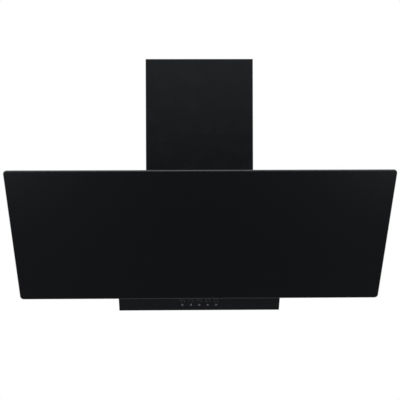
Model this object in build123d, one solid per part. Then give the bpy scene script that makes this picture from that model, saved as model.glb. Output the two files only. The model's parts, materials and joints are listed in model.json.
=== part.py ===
from build123d import *
import os
from math import acos, cos, pi, radians, sin, tan

# Wall-mounted angled cooker hood: a tilted glass flap over a slanted filter front, a blower in the
# housing, a round outlet with a non-return damper, and a telescopic chimney above.
# X runs to the right, +Y towards the wall (the wall is y = 0) and Z up. Heights count from the
# underside of the housing; the finished pieces are stored with the origin in the middle of the four
# wall screw holes. "Across, up, out" are the directions of the slanted front: X, up the slope and
# out of the front. All lengths are millimetres and all angles degrees.

# ------------------------------------------------------------------------------ driving dimensions
# Sheet metal housing
HOUSING_WIDTH = 412.0
HOUSING_HEIGHT = 335.0
HOUSING_FOOT_DEPTH = 108.0      # depth of the underside, from the wall to the foot of the front
FRONT_TILT = 35.0               # lean of the front and of the glass from the vertical
SHEET = 1.0
RIM_FLANGE = 12.0               # turned-in rim of the side panels
WALL_HOLES_ACROSS = 290.0
WALL_HOLES_APART = 150.0
WALL_HOLE_RADIUS = 3.0
WALL_HOLES_HEIGHT = 225.0       # middle of the wall screw holes above the underside
KEYHOLES_APART = 200.0
KEYHOLE_HEAD_RADIUS = 6.0
KEYHOLE_NECK_WIDTH = 6.0
KEYHOLE_RISE = 10.0             # from the head hole up to the end of the neck

# Glass flap
GLASS_WIDTH = 900.0
GLASS_LENGTH = 387.0
GLASS_THICKNESS = 5.0
GLASS_CORNER_RADIUS = 9.0
GLASS_ARRIS = 0.8               # ground edge
GLASS_RISE = 64.0               # foot of the glass above the foot of the front, up the slope
GLASS_STANDOFF = 23.0           # suction gap between the front and the back of the glass
BOND_THICKNESS = 1.0
BOND_WIDTH = 14.0
BOND_INSET = 4.0                # tape inside the edge of the carrier
CARRIER_WIDTH = 384.0
CARRIER_SHEET = 1.5
CARRIER_FOOT_INSET = 3.0        # foot of the carrier above the foot of the glass
CARRIER_RIM = 5.0               # turned-back side rims

# Flap hinges
HINGE_DROP = 11.0               # hinge axis below the upper end of the front, down the slope
HINGE_OUT = 12.0                # hinge axis in front of the housing front
HINGE_FROM_CENTRE = 168.0
HINGE_WIDTH = 30.0
HINGE_PIN_RADIUS = 2.5
HINGE_EAR_RADIUS = 5.5
HINGE_EAR_THICKNESS = 3.0
HINGE_PLATE = 2.0
HINGE_PLATE_LENGTH = 22.0
HINGE_SIDE_GAP = 0.4
HINGE_SCREW_DROP = 16.0         # screws below the hinge axis, down the slope
HINGE_SCREW_INSET = 5.5
KNUCKLE_WALL = 1.8

# Magnetic catches at the foot of the flap
CATCH_FROM_CENTRE = 120.0
CATCH_WIDTH = 30.0
CATCH_LENGTH = 12.0
CATCH_GAP = 0.2
CATCH_PLATE_MARGIN = 2.0        # plate wider than the magnet on each side

# Grease filter
FILTER_WIDTH = 320.0
FILTER_LENGTH = 270.0
FILTER_THICKNESS = 9.0
FILTER_RISE = 88.0              # foot of the filter above the foot of the front
FILTER_CLEARANCE = 1.0
FILTER_SKIN = 0.8
FILTER_RIM = 12.0
FILTER_LEDGE = 7.0              # ledge of the housing behind each side of the filter
GRILLE_COLUMNS = 18
GRILLE_ROWS = 15
GRILLE_HOLE = 9.0
LUG_WIDTH = 24.0
LUG_REACH = 7.0
LUG_FROM_CENTRE = 100.0

# Filter latch
LATCH_TRAVEL = 8.0
LATCH_WIDTH = 30.0
LATCH_LENGTH = 13.0
LATCH_THICKNESS = 4.6
LATCH_BOLT_WIDTH = 20.0
LATCH_BOLT_REACH = 6.0
LATCH_KNOB_HEIGHT = 5.0
LATCH_KNOB_LENGTH = 8.0
LATCH_GAP = 0.3
LATCH_WALL = 1.5

# Control strip
STRIP_LENGTH = 56.0
BUTTON_RISE = 21.0              # row of buttons above the foot of the front, up the slope
BUTTON_PITCH = 21.6
BUTTON_RADIUS = 3.0
BUTTON_PROUD = 3.0
BUTTON_TRAVEL = 2.5
BUTTON_GAP = 0.3
BUTTON_COLLAR_RADIUS = 4.4
BUTTON_COLLAR_THICKNESS = 2.0
BUTTON_STEM_RADIUS = 1.8
SWITCH_SPRING_ROOM = 6.0
SWITCH_DEPTH = 13.0
SWITCH_LENGTH = 20.0
SWITCH_END = 11.0               # from the outermost button to the end of the switch block
SWITCH_POST_RADIUS = 4.0
SWITCH_EAR = 3.0

# Springs
SPRING_WIRE = 0.5
BUTTON_SPRING_TURNS = 4
LATCH_SPRING_TURNS = 6
LATCH_SPRING_RADIUS = 1.6
LATCH_SPRING_ROOM = 4.0         # length left to the spring when the latch is drawn back

# Blower
BLOWER_DEPTH = 102.0            # blower axis in front of the wall
BLOWER_HEIGHT = 200.0
SCROLL_START_RADIUS = 76.0
SCROLL_END_RADIUS = 96.0
SCROLL_WIDTH = 150.0
SCROLL_WALL = 2.0
SCROLL_MOUTH = 142.0            # outlet of the scroll, front to back
SCROLL_FLANGE = 12.0
SCROLL_FLANGE_THICKNESS = 3.0
SEAM_EAR = 15.0
SEAM_EAR_THICKNESS = 5.0
INLET_RADIUS = 60.0
INLET_LIP = 4.0
IMPELLER_RADIUS = 68.0
IMPELLER_BLADE_CHORD = 12.0
IMPELLER_BLADE_THICKNESS = 1.0
IMPELLER_BLADES = 32
IMPELLER_BLADE_ANGLE = 62.0
IMPELLER_END_GAP = 9.0
IMPELLER_RING = 2.0
SHAFT_RADIUS = 4.0
HUB_RADIUS = 9.0
HUB_LENGTH = 20.0
HUB_NUT_LENGTH = 5.0
SHAFT_END = 9.0                 # end of the shaft past the hub
MOTOR_RADIUS = 42.0
MOTOR_LENGTH = 96.0
MOTOR_EDGE_RADIUS = 5.0
MOTOR_HUB_GAP = 6.0
MOTOR_TAB_REACH = 12.0
MOTOR_TAB_THICKNESS = 2.0
SPIDER_THICKNESS = 4.0
SPIDER_ARM_WIDTH = 12.0
SPIDER_ARMS = 3
BUSH_RADIUS = 5.0
BUSH_LENGTH = 5.0
CAPACITOR_RADIUS = 14.0
CAPACITOR_LENGTH = 56.0
CAPACITOR_EDGE_RADIUS = 2.0

# Outlet collar and damper
DUCT_RADIUS = 75.0
COLLAR_WALL = 2.5
COLLAR_HEIGHT = 40.0
COLLAR_FLANGE = 10.0
COLLAR_FLANGE_THICKNESS = 2.0
DAMPER_HEIGHT = 20.0            # damper rod above the top plate
DAMPER_ROD_RADIUS = 1.5
DAMPER_ROD_INSET = 0.2
DAMPER_THICKNESS = 1.2
DAMPER_EDGE_GAP = 0.8
DAMPER_LEDGE_GAP = 0.3
DAMPER_MIDDLE_GAP = 3.2
KNUCKLE_RADIUS = 2.6
KNUCKLE_LENGTH = 10.0
KNUCKLE_PITCH = 24.0

# Chimney
CHIMNEY_WIDTH = 263.0
CHIMNEY_DEPTH = 225.0
CHIMNEY_HEIGHT = 296.0
CHIMNEY_GAP = 2.0               # between the two telescopic covers
CHIMNEY_BEND = 2.0
CHIMNEY_TAB = 13.0
CHIMNEY_STOP = 3.0              # upper cover above the tabs of the lower one
CHIMNEY_TOP_INSET = 2.0
BRACKET_HEIGHT = 20.0
BRACKET_SHEET = 1.5
BRACKET_REACH = 30.0
BRACKET_DROP = 12.0             # top of the bracket below the top of the upper cover
BRACKET_HOLES_APART = 180.0
BRACKET_SCREW_LENGTH = 5.0
VENT_COUNT = 8
VENT_LENGTH = 110.0
VENT_HEIGHT = 4.0
VENT_PITCH = 9.0
VENT_DROP = 50.0                # highest vent below the top of the upper cover

# Lamps in the underside
LAMP_FROM_CENTRE = 130.0
LAMP_RADIUS = 27.0
LAMP_WALL = 1.5
LAMP_FLANGE = 4.0
LAMP_FLANGE_THICKNESS = 1.5
LAMP_DEPTH = 14.0
LENS_THICKNESS = 2.5
LAMP_BOARD_THICKNESS = 1.6
EMITTER_SIZE = 3.0

# Electrics
TERMINAL_BOX = (84.0, 34.0, 46.0)
TERMINAL_BOX_WALL = 1.8
TERMINAL_COVER = 2.0
DRIVER_BOX = (78.0, 30.0, 24.0)
DRIVER_EDGE_RADIUS = 2.0
ELECTRICS_HEIGHT = 44.0         # foot of the terminal box and lamp driver above the underside
ELECTRICS_FROM_CENTRE = 110.0
GLAND_BORE_RADIUS = 3.7
GLAND_RADIUS = 6.0
GLAND_FLANGE_RADIUS = 9.5
GLAND_HEIGHT = 12.0
GLAND_NUT_THICKNESS = 4.0
GLAND_FROM_CENTRE = 105.0       # to the left
GLAND_DEPTH = 26.0              # gland in front of the wall

# Internal wiring
LEAD_RADIUS = 2.2
LEAD_BEND = 9.0                 # radius of the bends
LAMP_LEAD_RISE = 12.0           # leads of the lamps above the lamps

# Screws
SCREW_RADIUS = 1.9
SCREW_HEAD_RADIUS = 3.6
SCREW_HEAD_HEIGHT = 1.6
SCREW_LENGTH = 8.0
SCREW_RECESS = 0.7
SCREW_HOLE_GAP = 0.1
FIT_GAP = 0.1                   # round pieces that are fixed in a hole
RUNNING_GAP = 0.05              # shafts and pins that turn in a hole
PRESS_GAP = 0.01                # pins and hubs that are pressed in place

# --------------------------------------------------------------------------------- derived places
tilt = radians(FRONT_TILT)
front_length = HOUSING_HEIGHT / cos(tilt)
out_of_front = (0, -cos(tilt), -sin(tilt))
front = Plane(origin=(0, -HOUSING_FOOT_DEPTH, 0), x_dir=(1, 0, 0), z_dir=out_of_front).location
half_width = HOUSING_WIDTH / 2
top_of_housing = HOUSING_HEIGHT

hinge_up = front_length - HINGE_DROP
carrier_back = GLASS_STANDOFF - BOND_THICKNESS - CARRIER_SHEET
leaf_back = carrier_back - HINGE_PLATE
carrier_foot = GLASS_RISE + CARRIER_FOOT_INSET
leaf_top = hinge_up + HINGE_PIN_RADIUS + KNUCKLE_WALL
carrier_top = leaf_top + CARRIER_SHEET

scroll_front = -BLOWER_DEPTH - SCROLL_END_RADIUS
scroll_back = scroll_front + SCROLL_MOUTH
duct_y = (scroll_front + scroll_back) / 2
duct_bore = DUCT_RADIUS - COLLAR_WALL
scroll_top = top_of_housing - SHEET
damper_z = top_of_housing + DAMPER_HEIGHT

chimney_foot = top_of_housing
chimney_top = chimney_foot + CHIMNEY_HEIGHT
upper_half_width = CHIMNEY_WIDTH / 2 - SHEET - CHIMNEY_GAP
upper_front = -CHIMNEY_DEPTH + SHEET + CHIMNEY_GAP
upper_foot = chimney_foot + SHEET + CHIMNEY_STOP
upper_top = chimney_top - CHIMNEY_TOP_INSET

screw_hole_radius = SCREW_RADIUS + SCREW_HOLE_GAP
button_offsets = [BUTTON_PITCH * (place - 2) for place in range(5)]
switch_face = -SHEET - BUTTON_GAP - BUTTON_COLLAR_THICKNESS - SWITCH_SPRING_ROOM
switch_half_width = 2 * BUTTON_PITCH + SWITCH_END
filter_back = -FILTER_THICKNESS


# ---------------------------------------------------------------------------------------- helpers
def block(across, along, up):
    """A box between three pairs of coordinates."""
    sizes = [high - low for low, high in (across, along, up)]
    return Pos(across[0], along[0], up[0]) * Box(*sizes, align=(Align.MIN, Align.MIN, Align.MIN))


def around(middle, width):
    """The pair of coordinates half a width to each side of the middle."""
    return (middle - width / 2, middle + width / 2)


def rod(radius, length):
    """A cylinder that stands on the origin."""
    return Cylinder(radius, length, align=(Align.CENTER, Align.CENTER, Align.MIN))


def tube(outer, inner, length):
    """A ring that stands on the origin."""
    return rod(outer, length) - Pos(0, 0, -1) * rod(inner, length + 2)


def both_sides(shape):
    """The shape and its mirror image on the other side of the middle plane."""
    return [shape, mirror(shape, about=Plane.YZ)]


def joined(shapes):
    """Several overlapping or touching shapes as one."""
    return Part() + list(shapes)


def prism(outline, across):
    """An outline in the plane across the hood, drawn as (y, z) points, made as wide as `across`."""
    face = Plane.YZ * Polygon(*outline)
    return Pos(across[0], 0, 0) * extrude(face, amount=across[1] - across[0], dir=(1, 0, 0))


def front_y(height, depth=0.0):
    """Where a level line at this height meets the front, `depth` behind its outer face."""
    return -HOUSING_FOOT_DEPTH - height * tan(tilt) + depth / cos(tilt)


def housing_section(back, face, foot, top):
    """The housing's side view, drawn in by these distances."""
    low, high = foot, HOUSING_HEIGHT - top
    return [(-back, low), (front_y(low, face), low), (front_y(high, face), high), (-back, high)]


def spring(radius, wire, turns, length):
    """A coil spring of round wire that stands on the origin, with its ends inside its length."""
    coil_height = length - wire
    path = Pos(0, 0, wire / 2) * Helix(coil_height / turns, coil_height, radius)
    start = Plane(origin=path @ 0, z_dir=path % 0)
    return sweep(start * Circle(wire / 2), path=path)


def screw():
    """A pan-head screw with a cross recess; its head stands on the origin, its shank goes down."""
    head = rod(SCREW_HEAD_RADIUS, SCREW_HEAD_HEIGHT)
    head = fillet(head.edges().group_by(Axis.Z)[-1], SCREW_HEAD_HEIGHT * 0.45)
    shank = Pos(0, 0, -SCREW_LENGTH) * rod(SCREW_RADIUS, SCREW_LENGTH)
    reach = SCREW_HEAD_RADIUS * 1.1
    recess_heights = (SCREW_HEAD_HEIGHT - SCREW_RECESS, SCREW_HEAD_HEIGHT + 1)
    slot = block(around(0, reach), around(0, SCREW_RECESS), recess_heights)
    return head + shank - slot - Rot(0, 0, 90) * slot


def shortened(shape, length):
    """A screw whose shank is cut to this length."""
    reach = 2 * SCREW_LENGTH + length
    return shape - block(around(0, reach), around(0, reach), (-reach, -length))


def bored(piece, places, radius=None):
    """The piece with a through hole at each place."""
    hole = Pos(0, 0, -4 * SCREW_LENGTH) * rod(radius or screw_hole_radius, 8 * SCREW_LENGTH)
    return piece - [place * hole for place in places]


def screw_bores(places):
    """Cutters for screws at these places, as deep as one screw is long."""
    return [place * Pos(0, 0, -SCREW_LENGTH) * rod(screw_hole_radius, 2 * SCREW_LENGTH) for place in places]


# -------------------------------------------------------------------------------- where screws sit
collar_screw_ring = duct_bore + COLLAR_WALL + COLLAR_FLANGE / 2
collar_screw_level = top_of_housing + COLLAR_FLANGE_THICKNESS
collar_screw_places = [
    Pos(0, duct_y, collar_screw_level) * Rot(0, 0, turn) * Pos(collar_screw_ring, 0, 0)
    for turn in range(0, 360, 90)
]
rim_middle = half_width - SHEET - RIM_FLANGE / 2
strip_screw_places = [front * Pos(side * rim_middle, STRIP_LENGTH - RIM_FLANGE / 2, 0) for side in (-1, 1)]
front_screw_places = [
    front * Pos(side * rim_middle, STRIP_LENGTH + share * (front_length - STRIP_LENGTH), 0)
    for side in (-1, 1)
    for share in (0.08, 0.5, 0.8)
]
foot_screw_places = [
    Pos(side * rim_middle, -share * HOUSING_FOOT_DEPTH, 0) * Rot(180, 0, 0)
    for side in (-1, 1)
    for share in (0.2, 0.72)
]
top_screw_places = [
    Pos(side * rim_middle, share * front_y(HOUSING_HEIGHT), top_of_housing)
    for side in (-1, 1)
    for share in (0.12, 0.82)
]
tab_middle = CHIMNEY_WIDTH / 2 - SHEET - CHIMNEY_TAB / 2
chimney_screw_places = [
    Pos(side * tab_middle, -share * CHIMNEY_DEPTH, chimney_foot + SHEET)
    for side in (-1, 1)
    for share in (0.3, 0.86)
]
hinge_screw_step = HINGE_WIDTH / 2 - HINGE_SCREW_INSET
hinge_screw_up = hinge_up - HINGE_SCREW_DROP
hinge_screw_places = [
    front * Pos(side * (HINGE_FROM_CENTRE + step), hinge_screw_up, HINGE_PLATE)
    for side in (-1, 1)
    for step in (-hinge_screw_step, hinge_screw_step)
]
leaf_screw_places = [
    front * Pos(side * (HINGE_FROM_CENTRE + step), hinge_screw_up, leaf_back) * Rot(180, 0, 0)
    for side in (-1, 1)
    for step in (-hinge_screw_step, hinge_screw_step)
]
switch_post_from_centre = switch_half_width + SWITCH_POST_RADIUS + 1
switch_screw_places = [
    front * Pos(side * switch_post_from_centre, BUTTON_RISE, switch_face - SWITCH_EAR) * Rot(180, 0, 0)
    for side in (-1, 1)
]
bracket_middle = upper_top - BRACKET_DROP - BRACKET_HEIGHT / 2
bracket_screw_places = [
    Pos(side * upper_half_width, -BRACKET_REACH * 0.6, bracket_middle) * Rot(0, side * 90, 0)
    for side in (-1, 1)
]


# ---------------------------------------------------------------------------------- housing panels
def wall_hole_places():
    """The four wall screw holes, as (x, z) pairs."""
    return [
        (side * WALL_HOLES_ACROSS / 2, WALL_HOLES_HEIGHT + level * WALL_HOLES_APART / 2)
        for side in (-1, 1)
        for level in (-1, 1)
    ]


def back_panel():
    panel = block((-half_width, half_width), (-SHEET, 0), (0, HOUSING_HEIGHT))
    for x, z in wall_hole_places():
        panel -= Pos(x, -2 * SHEET, z) * Rot(-90, 0, 0) * rod(WALL_HOLE_RADIUS, 4 * SHEET)
    neck_top = WALL_HOLES_HEIGHT + WALL_HOLES_APART / 2
    for side in (-1, 1):
        x = side * KEYHOLES_APART / 2
        head_z = neck_top - KEYHOLE_RISE
        to_wall = Rot(-90, 0, 0)
        head = Pos(x, -2 * SHEET, head_z) * to_wall * rod(KEYHOLE_HEAD_RADIUS, 4 * SHEET)
        neck = Pos(x, -2 * SHEET, neck_top) * to_wall * rod(KEYHOLE_NECK_WIDTH / 2, 4 * SHEET)
        slot = block(around(x, KEYHOLE_NECK_WIDTH), (-2 * SHEET, SHEET), (head_z, neck_top))
        panel -= [head, neck, slot]
    return panel


def side_panel(side):
    plate = prism(housing_section(SHEET, SHEET, 0, 0), (half_width - SHEET, half_width))
    rim_span = (half_width - SHEET - RIM_FLANGE, half_width - SHEET)
    rim = prism(housing_section(SHEET, SHEET, SHEET, SHEET), rim_span)
    rim -= prism(housing_section(2 * SHEET, 2 * SHEET, 2 * SHEET, 2 * SHEET), (rim_span[0] - 1, rim_span[1]))
    panel = plate + rim
    if side < 0:
        panel = mirror(panel, about=Plane.YZ)
    panel = bored(panel, foot_screw_places + top_screw_places)
    return bored(panel, strip_screw_places + front_screw_places)


def top_plate():
    high = (HOUSING_HEIGHT - SHEET, HOUSING_HEIGHT)
    outline = housing_section(SHEET, SHEET, high[0], 0)
    plate = prism(outline, (-half_width + SHEET, half_width - SHEET))
    plate -= Pos(0, duct_y, high[0] - 1) * rod(duct_bore, SHEET + 2)
    plate -= Pos(-GLAND_FROM_CENTRE, -GLAND_DEPTH, high[0] - 1) * rod(GLAND_RADIUS + FIT_GAP, SHEET + 2)
    return bored(plate, collar_screw_places + top_screw_places + chimney_screw_places)


def bottom_panel():
    outline = housing_section(SHEET, SHEET, 0, HOUSING_HEIGHT - SHEET)
    panel = prism(outline, (-half_width + SHEET, half_width - SHEET))
    for x in (-LAMP_FROM_CENTRE, LAMP_FROM_CENTRE):
        panel -= Pos(x, -HOUSING_FOOT_DEPTH / 2, -1) * rod(LAMP_RADIUS + FIT_GAP, SHEET + 2)
    return bored(panel, foot_screw_places)


def level_cut(piece):
    """Cuts a piece of the slanted front off level with the underside and the top of the housing."""
    reach = front_length + HOUSING_FOOT_DEPTH
    return piece & block((-HOUSING_WIDTH, HOUSING_WIDTH), (-reach, 0), (0, HOUSING_HEIGHT))


def front_panel():
    high = front_length + SHEET
    panel = level_cut(front * block((-half_width, half_width), (STRIP_LENGTH, high), (-SHEET, 0)))
    half = FILTER_WIDTH / 2 + FILTER_CLEARANCE
    low = FILTER_RISE - FILTER_CLEARANCE
    up = (low, FILTER_RISE + FILTER_LENGTH + FILTER_CLEARANCE)
    panel -= front * block((-half, half), up, (-2 * SHEET, SHEET))
    back = filter_back - FILTER_CLEARANCE
    wall = front * block((half, half + SHEET), up, (back - SHEET, -SHEET))
    ledge = front * block((half - FILTER_LEDGE, half + SHEET), up, (back - SHEET, back))
    panel = joined([panel] + both_sides(wall + ledge))
    return bored(panel, front_screw_places + hinge_screw_places)


def control_strip():
    past_foot = -SHEET
    strip = level_cut(front * block((-half_width, half_width), (past_foot, STRIP_LENGTH), (-SHEET, 0)))
    for x in button_offsets:
        strip -= front * Pos(x, BUTTON_RISE, -2 * SHEET) * rod(BUTTON_RADIUS + BUTTON_GAP, 4 * SHEET)
    return bored(strip, strip_screw_places)


def housing_screws():
    long_places = collar_screw_places + foot_screw_places + top_screw_places + chimney_screw_places
    screws = [place * screw() for place in long_places + strip_screw_places + front_screw_places]
    screws += [place * screw() for place in hinge_screw_places]
    switch_screw = shortened(screw(), SWITCH_EAR + SWITCH_SPRING_ROOM / 2)
    screws += [place * switch_screw for place in switch_screw_places]
    return Compound(children=screws)


# --------------------------------------------------------------------------------------- glass flap
def glass_panel():
    across = Rectangle(GLASS_WIDTH, GLASS_LENGTH)
    outline = fillet(across.vertices(), GLASS_CORNER_RADIUS)
    pane = extrude(outline, amount=GLASS_THICKNESS)
    rims = pane.edges().group_by(Axis.Z)
    pane = chamfer(rims[0] + rims[-1], GLASS_ARRIS)
    return front * Pos(0, GLASS_RISE + GLASS_LENGTH / 2, GLASS_STANDOFF) * pane


def carrier_edges():
    """Across and up ranges of the carrier plate."""
    return (-CARRIER_WIDTH / 2, CARRIER_WIDTH / 2), (carrier_foot, carrier_top)


def glass_bond_strips():
    across, up = carrier_edges()
    out = (GLASS_STANDOFF - BOND_THICKNESS, GLASS_STANDOFF)
    first, last = up[0] + BOND_INSET, up[1] - BOND_INSET
    edge = across[0] + BOND_INSET
    left = front * block((edge, edge + BOND_WIDTH), (first, last), out)
    right = mirror(left, about=Plane.YZ)
    long_span = (edge + BOND_WIDTH + BOND_INSET, -edge - BOND_WIDTH - BOND_INSET)
    foot = front * block(long_span, (first, first + BOND_WIDTH), out)
    middle = front * block(long_span, around((up[0] + up[1]) / 2, BOND_WIDTH), out)
    return Compound(children=[left, right, foot, middle])


def glass_carrier():
    across, up = carrier_edges()
    plate = front * block(across, up, (carrier_back, carrier_back + CARRIER_SHEET))
    rim_up = (catch_up()[1] + CARRIER_SHEET, hinge_up - HINGE_PLATE_LENGTH - 2 * CARRIER_SHEET)
    rim_across = (across[1] - CARRIER_SHEET, across[1])
    rim = front * block(rim_across, rim_up, (carrier_back - CARRIER_RIM, carrier_back))
    plate = joined([plate] + both_sides(rim))
    return bored(plate, leaf_screw_places)


def hinge_ears(middle):
    """Across ranges of the two fixed ears of the hinge whose middle is here."""
    low, high = around(middle, HINGE_WIDTH)
    return (low, low + HINGE_EAR_THICKNESS), (high - HINGE_EAR_THICKNESS, high)


def hinge_round(across, radius):
    """A round bar along a flap hinge's axis."""
    return front * Pos(across[0], hinge_up, HINGE_OUT) * Rot(0, 90, 0) * rod(radius, across[1] - across[0])


def hinge_base(side):
    middle = side * HINGE_FROM_CENTRE
    up = (hinge_up - HINGE_PLATE_LENGTH, hinge_up + HINGE_EAR_RADIUS)
    base = front * block(around(middle, HINGE_WIDTH), up, (0, HINGE_PLATE))
    for ear in hinge_ears(middle):
        base += front * block(ear, around(hinge_up, 2 * HINGE_EAR_RADIUS), (0, HINGE_OUT))
        base += hinge_round(ear, HINGE_EAR_RADIUS)
        base -= hinge_round((ear[0] - 1, ear[1] + 1), HINGE_PIN_RADIUS + PRESS_GAP)
    return bored(base, hinge_screw_places)


def hinge_pins():
    spans = [around(side * HINGE_FROM_CENTRE, HINGE_WIDTH) for side in (-1, 1)]
    return Compound(children=[hinge_round(across, HINGE_PIN_RADIUS) for across in spans])


def hinge_leaf(side):
    middle = side * HINGE_FROM_CENTRE
    inner = around(middle, HINGE_WIDTH - 2 * HINGE_EAR_THICKNESS - 2 * HINGE_SIDE_GAP)
    plate_up = (hinge_up - HINGE_PLATE_LENGTH, leaf_top)
    leaf = front * block(around(middle, HINGE_WIDTH), plate_up, (leaf_back, carrier_back))
    web = around(hinge_up, 2 * (HINGE_PIN_RADIUS + KNUCKLE_WALL))
    leaf += front * block(inner, web, (HINGE_OUT, carrier_back))
    leaf += hinge_round(inner, HINGE_PIN_RADIUS + KNUCKLE_WALL)
    leaf -= hinge_round((inner[0] - 1, inner[1] + 1), HINGE_PIN_RADIUS + RUNNING_GAP)
    return bored(leaf, leaf_screw_places)


def hinge_leaf_screws():
    length = HINGE_PLATE + CARRIER_SHEET
    return Compound(children=[place * shortened(screw(), length) for place in leaf_screw_places])


def catch_up():
    """Up range of the magnets and their plates."""
    return (carrier_foot + CARRIER_SHEET, carrier_foot + CARRIER_SHEET + CATCH_LENGTH)


def magnet_catches():
    top = carrier_back - HINGE_PLATE - CATCH_GAP
    catches = []
    for side in (-1, 1):
        middle = side * CATCH_FROM_CENTRE
        catches.append(front * block(around(middle, CATCH_WIDTH), catch_up(), (0, top)))
    return Compound(children=catches)


def catch_plates():
    plates = []
    for side in (-1, 1):
        middle = side * CATCH_FROM_CENTRE
        across = around(middle, CATCH_WIDTH + 2 * CATCH_PLATE_MARGIN)
        plates.append(front * block(across, catch_up(), (leaf_back, carrier_back)))
    return Compound(children=plates)


# ------------------------------------------------------------------------------------ grease filter
latch_pocket_length = LATCH_LENGTH + LATCH_TRAVEL + LATCH_SPRING_TURNS * SPRING_WIRE + LATCH_SPRING_ROOM
pocket_width = LATCH_WIDTH + 2 * LATCH_GAP
pocket_out = (filter_back + LATCH_WALL, -LATCH_WALL)
latch_foot = LATCH_WALL + LATCH_GAP


def filter_at(across, up, out):
    """A box in the filter's own directions, its foot at up = 0."""
    return front * block(across, (FILTER_RISE + up[0], FILTER_RISE + up[1]), out)


def latch_island(extra):
    """The solid part of the filter that holds the latch, larger by `extra`."""
    wide = pocket_width + 2 * LATCH_WALL + 2 * extra
    return filter_at(around(0, wide), (0, latch_pocket_length + 2 * LATCH_WALL + extra), (filter_back, 0))


def filter_frame():
    half = FILTER_WIDTH / 2
    shell = filter_at((-half, half), (0, FILTER_LENGTH), (filter_back, 0))
    inner = half - FILTER_SKIN
    hollow = (filter_back + FILTER_SKIN, -FILTER_SKIN)
    shell -= filter_at((-inner, inner), (FILTER_SKIN, FILTER_LENGTH - FILTER_SKIN), hollow)
    window = half - FILTER_RIM
    shell -= filter_at((-window, window), (FILTER_RIM, FILTER_LENGTH - FILTER_RIM), (filter_back - 1, 1))
    shell = shell + latch_island(0)
    shell -= filter_at(around(0, pocket_width), (LATCH_WALL, LATCH_WALL + latch_pocket_length), pocket_out)
    bolt_hole = LATCH_BOLT_WIDTH + 2 * LATCH_GAP
    bolt_out = (pocket_out[0], pocket_out[0] + LATCH_THICKNESS / 2 + 2 * LATCH_GAP)
    shell -= filter_at(around(0, bolt_hole), (-1, LATCH_WALL + 1), bolt_out)
    knob_up = (latch_foot + 1, latch_foot + 1 + LATCH_KNOB_LENGTH + LATCH_TRAVEL + 2 * LATCH_GAP)
    shell -= filter_at(around(0, pocket_width - 2 * LATCH_WALL), knob_up, (-LATCH_WALL - 1, 1))
    for side in (-1, 1):
        lug_up = (FILTER_LENGTH - FILTER_SKIN, FILTER_LENGTH + LUG_REACH)
        lug_out = (-SHEET - LATCH_GAP - 2 * FILTER_SKIN, -SHEET - LATCH_GAP)
        shell += filter_at(around(side * LUG_FROM_CENTRE, LUG_WIDTH), lug_up, lug_out)
    return shell


def grille(out):
    """A punched sheet inside the filter, with a hole for each cell of its pattern."""
    margin = FILTER_SKIN + FIT_GAP
    half = FILTER_WIDTH / 2 - margin
    sheet = Pos(0, FILTER_LENGTH / 2) * Rectangle(2 * half, FILTER_LENGTH - 2 * margin)
    pitch_across = (FILTER_WIDTH - 2 * FILTER_RIM) / GRILLE_COLUMNS
    pitch_up = (FILTER_LENGTH - 2 * FILTER_RIM) / GRILLE_ROWS
    island_half = pocket_width / 2 + LATCH_WALL + GRILLE_HOLE
    island_top = latch_pocket_length + 2 * LATCH_WALL + GRILLE_HOLE
    holes = []
    for column in range(GRILLE_COLUMNS):
        for row in range(GRILLE_ROWS):
            x = (column + 0.5) * pitch_across - FILTER_WIDTH / 2 + FILTER_RIM
            y = (row + 0.5) * pitch_up + FILTER_RIM
            if abs(x) > island_half or y > island_top:
                holes.append(Pos(x, y) * Rot(0, 0, 45) * Rectangle(GRILLE_HOLE, GRILLE_HOLE))
    sheet -= holes
    plate = front * Pos(0, FILTER_RISE, out[0]) * extrude(sheet, amount=out[1] - out[0])
    return plate - latch_island(FIT_GAP)


def filter_front_grille():
    return grille((-2 * FILTER_SKIN, -FILTER_SKIN))


def filter_rear_grille():
    return grille((filter_back + FILTER_SKIN, filter_back + 2 * FILTER_SKIN))


def filter_mesh_pack():
    margin = FILTER_SKIN + FIT_GAP
    half = FILTER_WIDTH / 2 - margin
    out = (filter_back + 2 * FILTER_SKIN, -2 * FILTER_SKIN)
    pack = filter_at((-half, half), (margin, FILTER_LENGTH - margin), out)
    return pack - latch_island(FIT_GAP)


def filter_latch():
    low = pocket_out[0] + LATCH_GAP
    slider_up = (latch_foot, latch_foot + LATCH_LENGTH)
    slider = filter_at(around(0, LATCH_WIDTH), slider_up, (low, low + LATCH_THICKNESS))
    bolt_up = (latch_foot - LATCH_WALL - LATCH_GAP - LATCH_BOLT_REACH, latch_foot + 1)
    bolt = filter_at(around(0, LATCH_BOLT_WIDTH), bolt_up, (low, low + LATCH_THICKNESS / 2))
    knob_up = (latch_foot + 1 + LATCH_GAP, latch_foot + 1 + LATCH_GAP + LATCH_KNOB_LENGTH)
    knob_width = LATCH_WIDTH - 2 * LATCH_WALL - 2 * LATCH_GAP
    knob = filter_at(around(0, knob_width), knob_up, (low, LATCH_KNOB_HEIGHT))
    return slider + bolt + knob


def filter_latch_spring():
    seat = latch_foot + LATCH_LENGTH
    length = LATCH_WALL + latch_pocket_length - seat
    middle = (pocket_out[0] + pocket_out[1]) / 2
    coil = spring(LATCH_SPRING_RADIUS, SPRING_WIRE, LATCH_SPRING_TURNS, length)
    return front * Pos(0, FILTER_RISE + seat, middle) * Rot(-90, 0, 0) * coil


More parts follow.
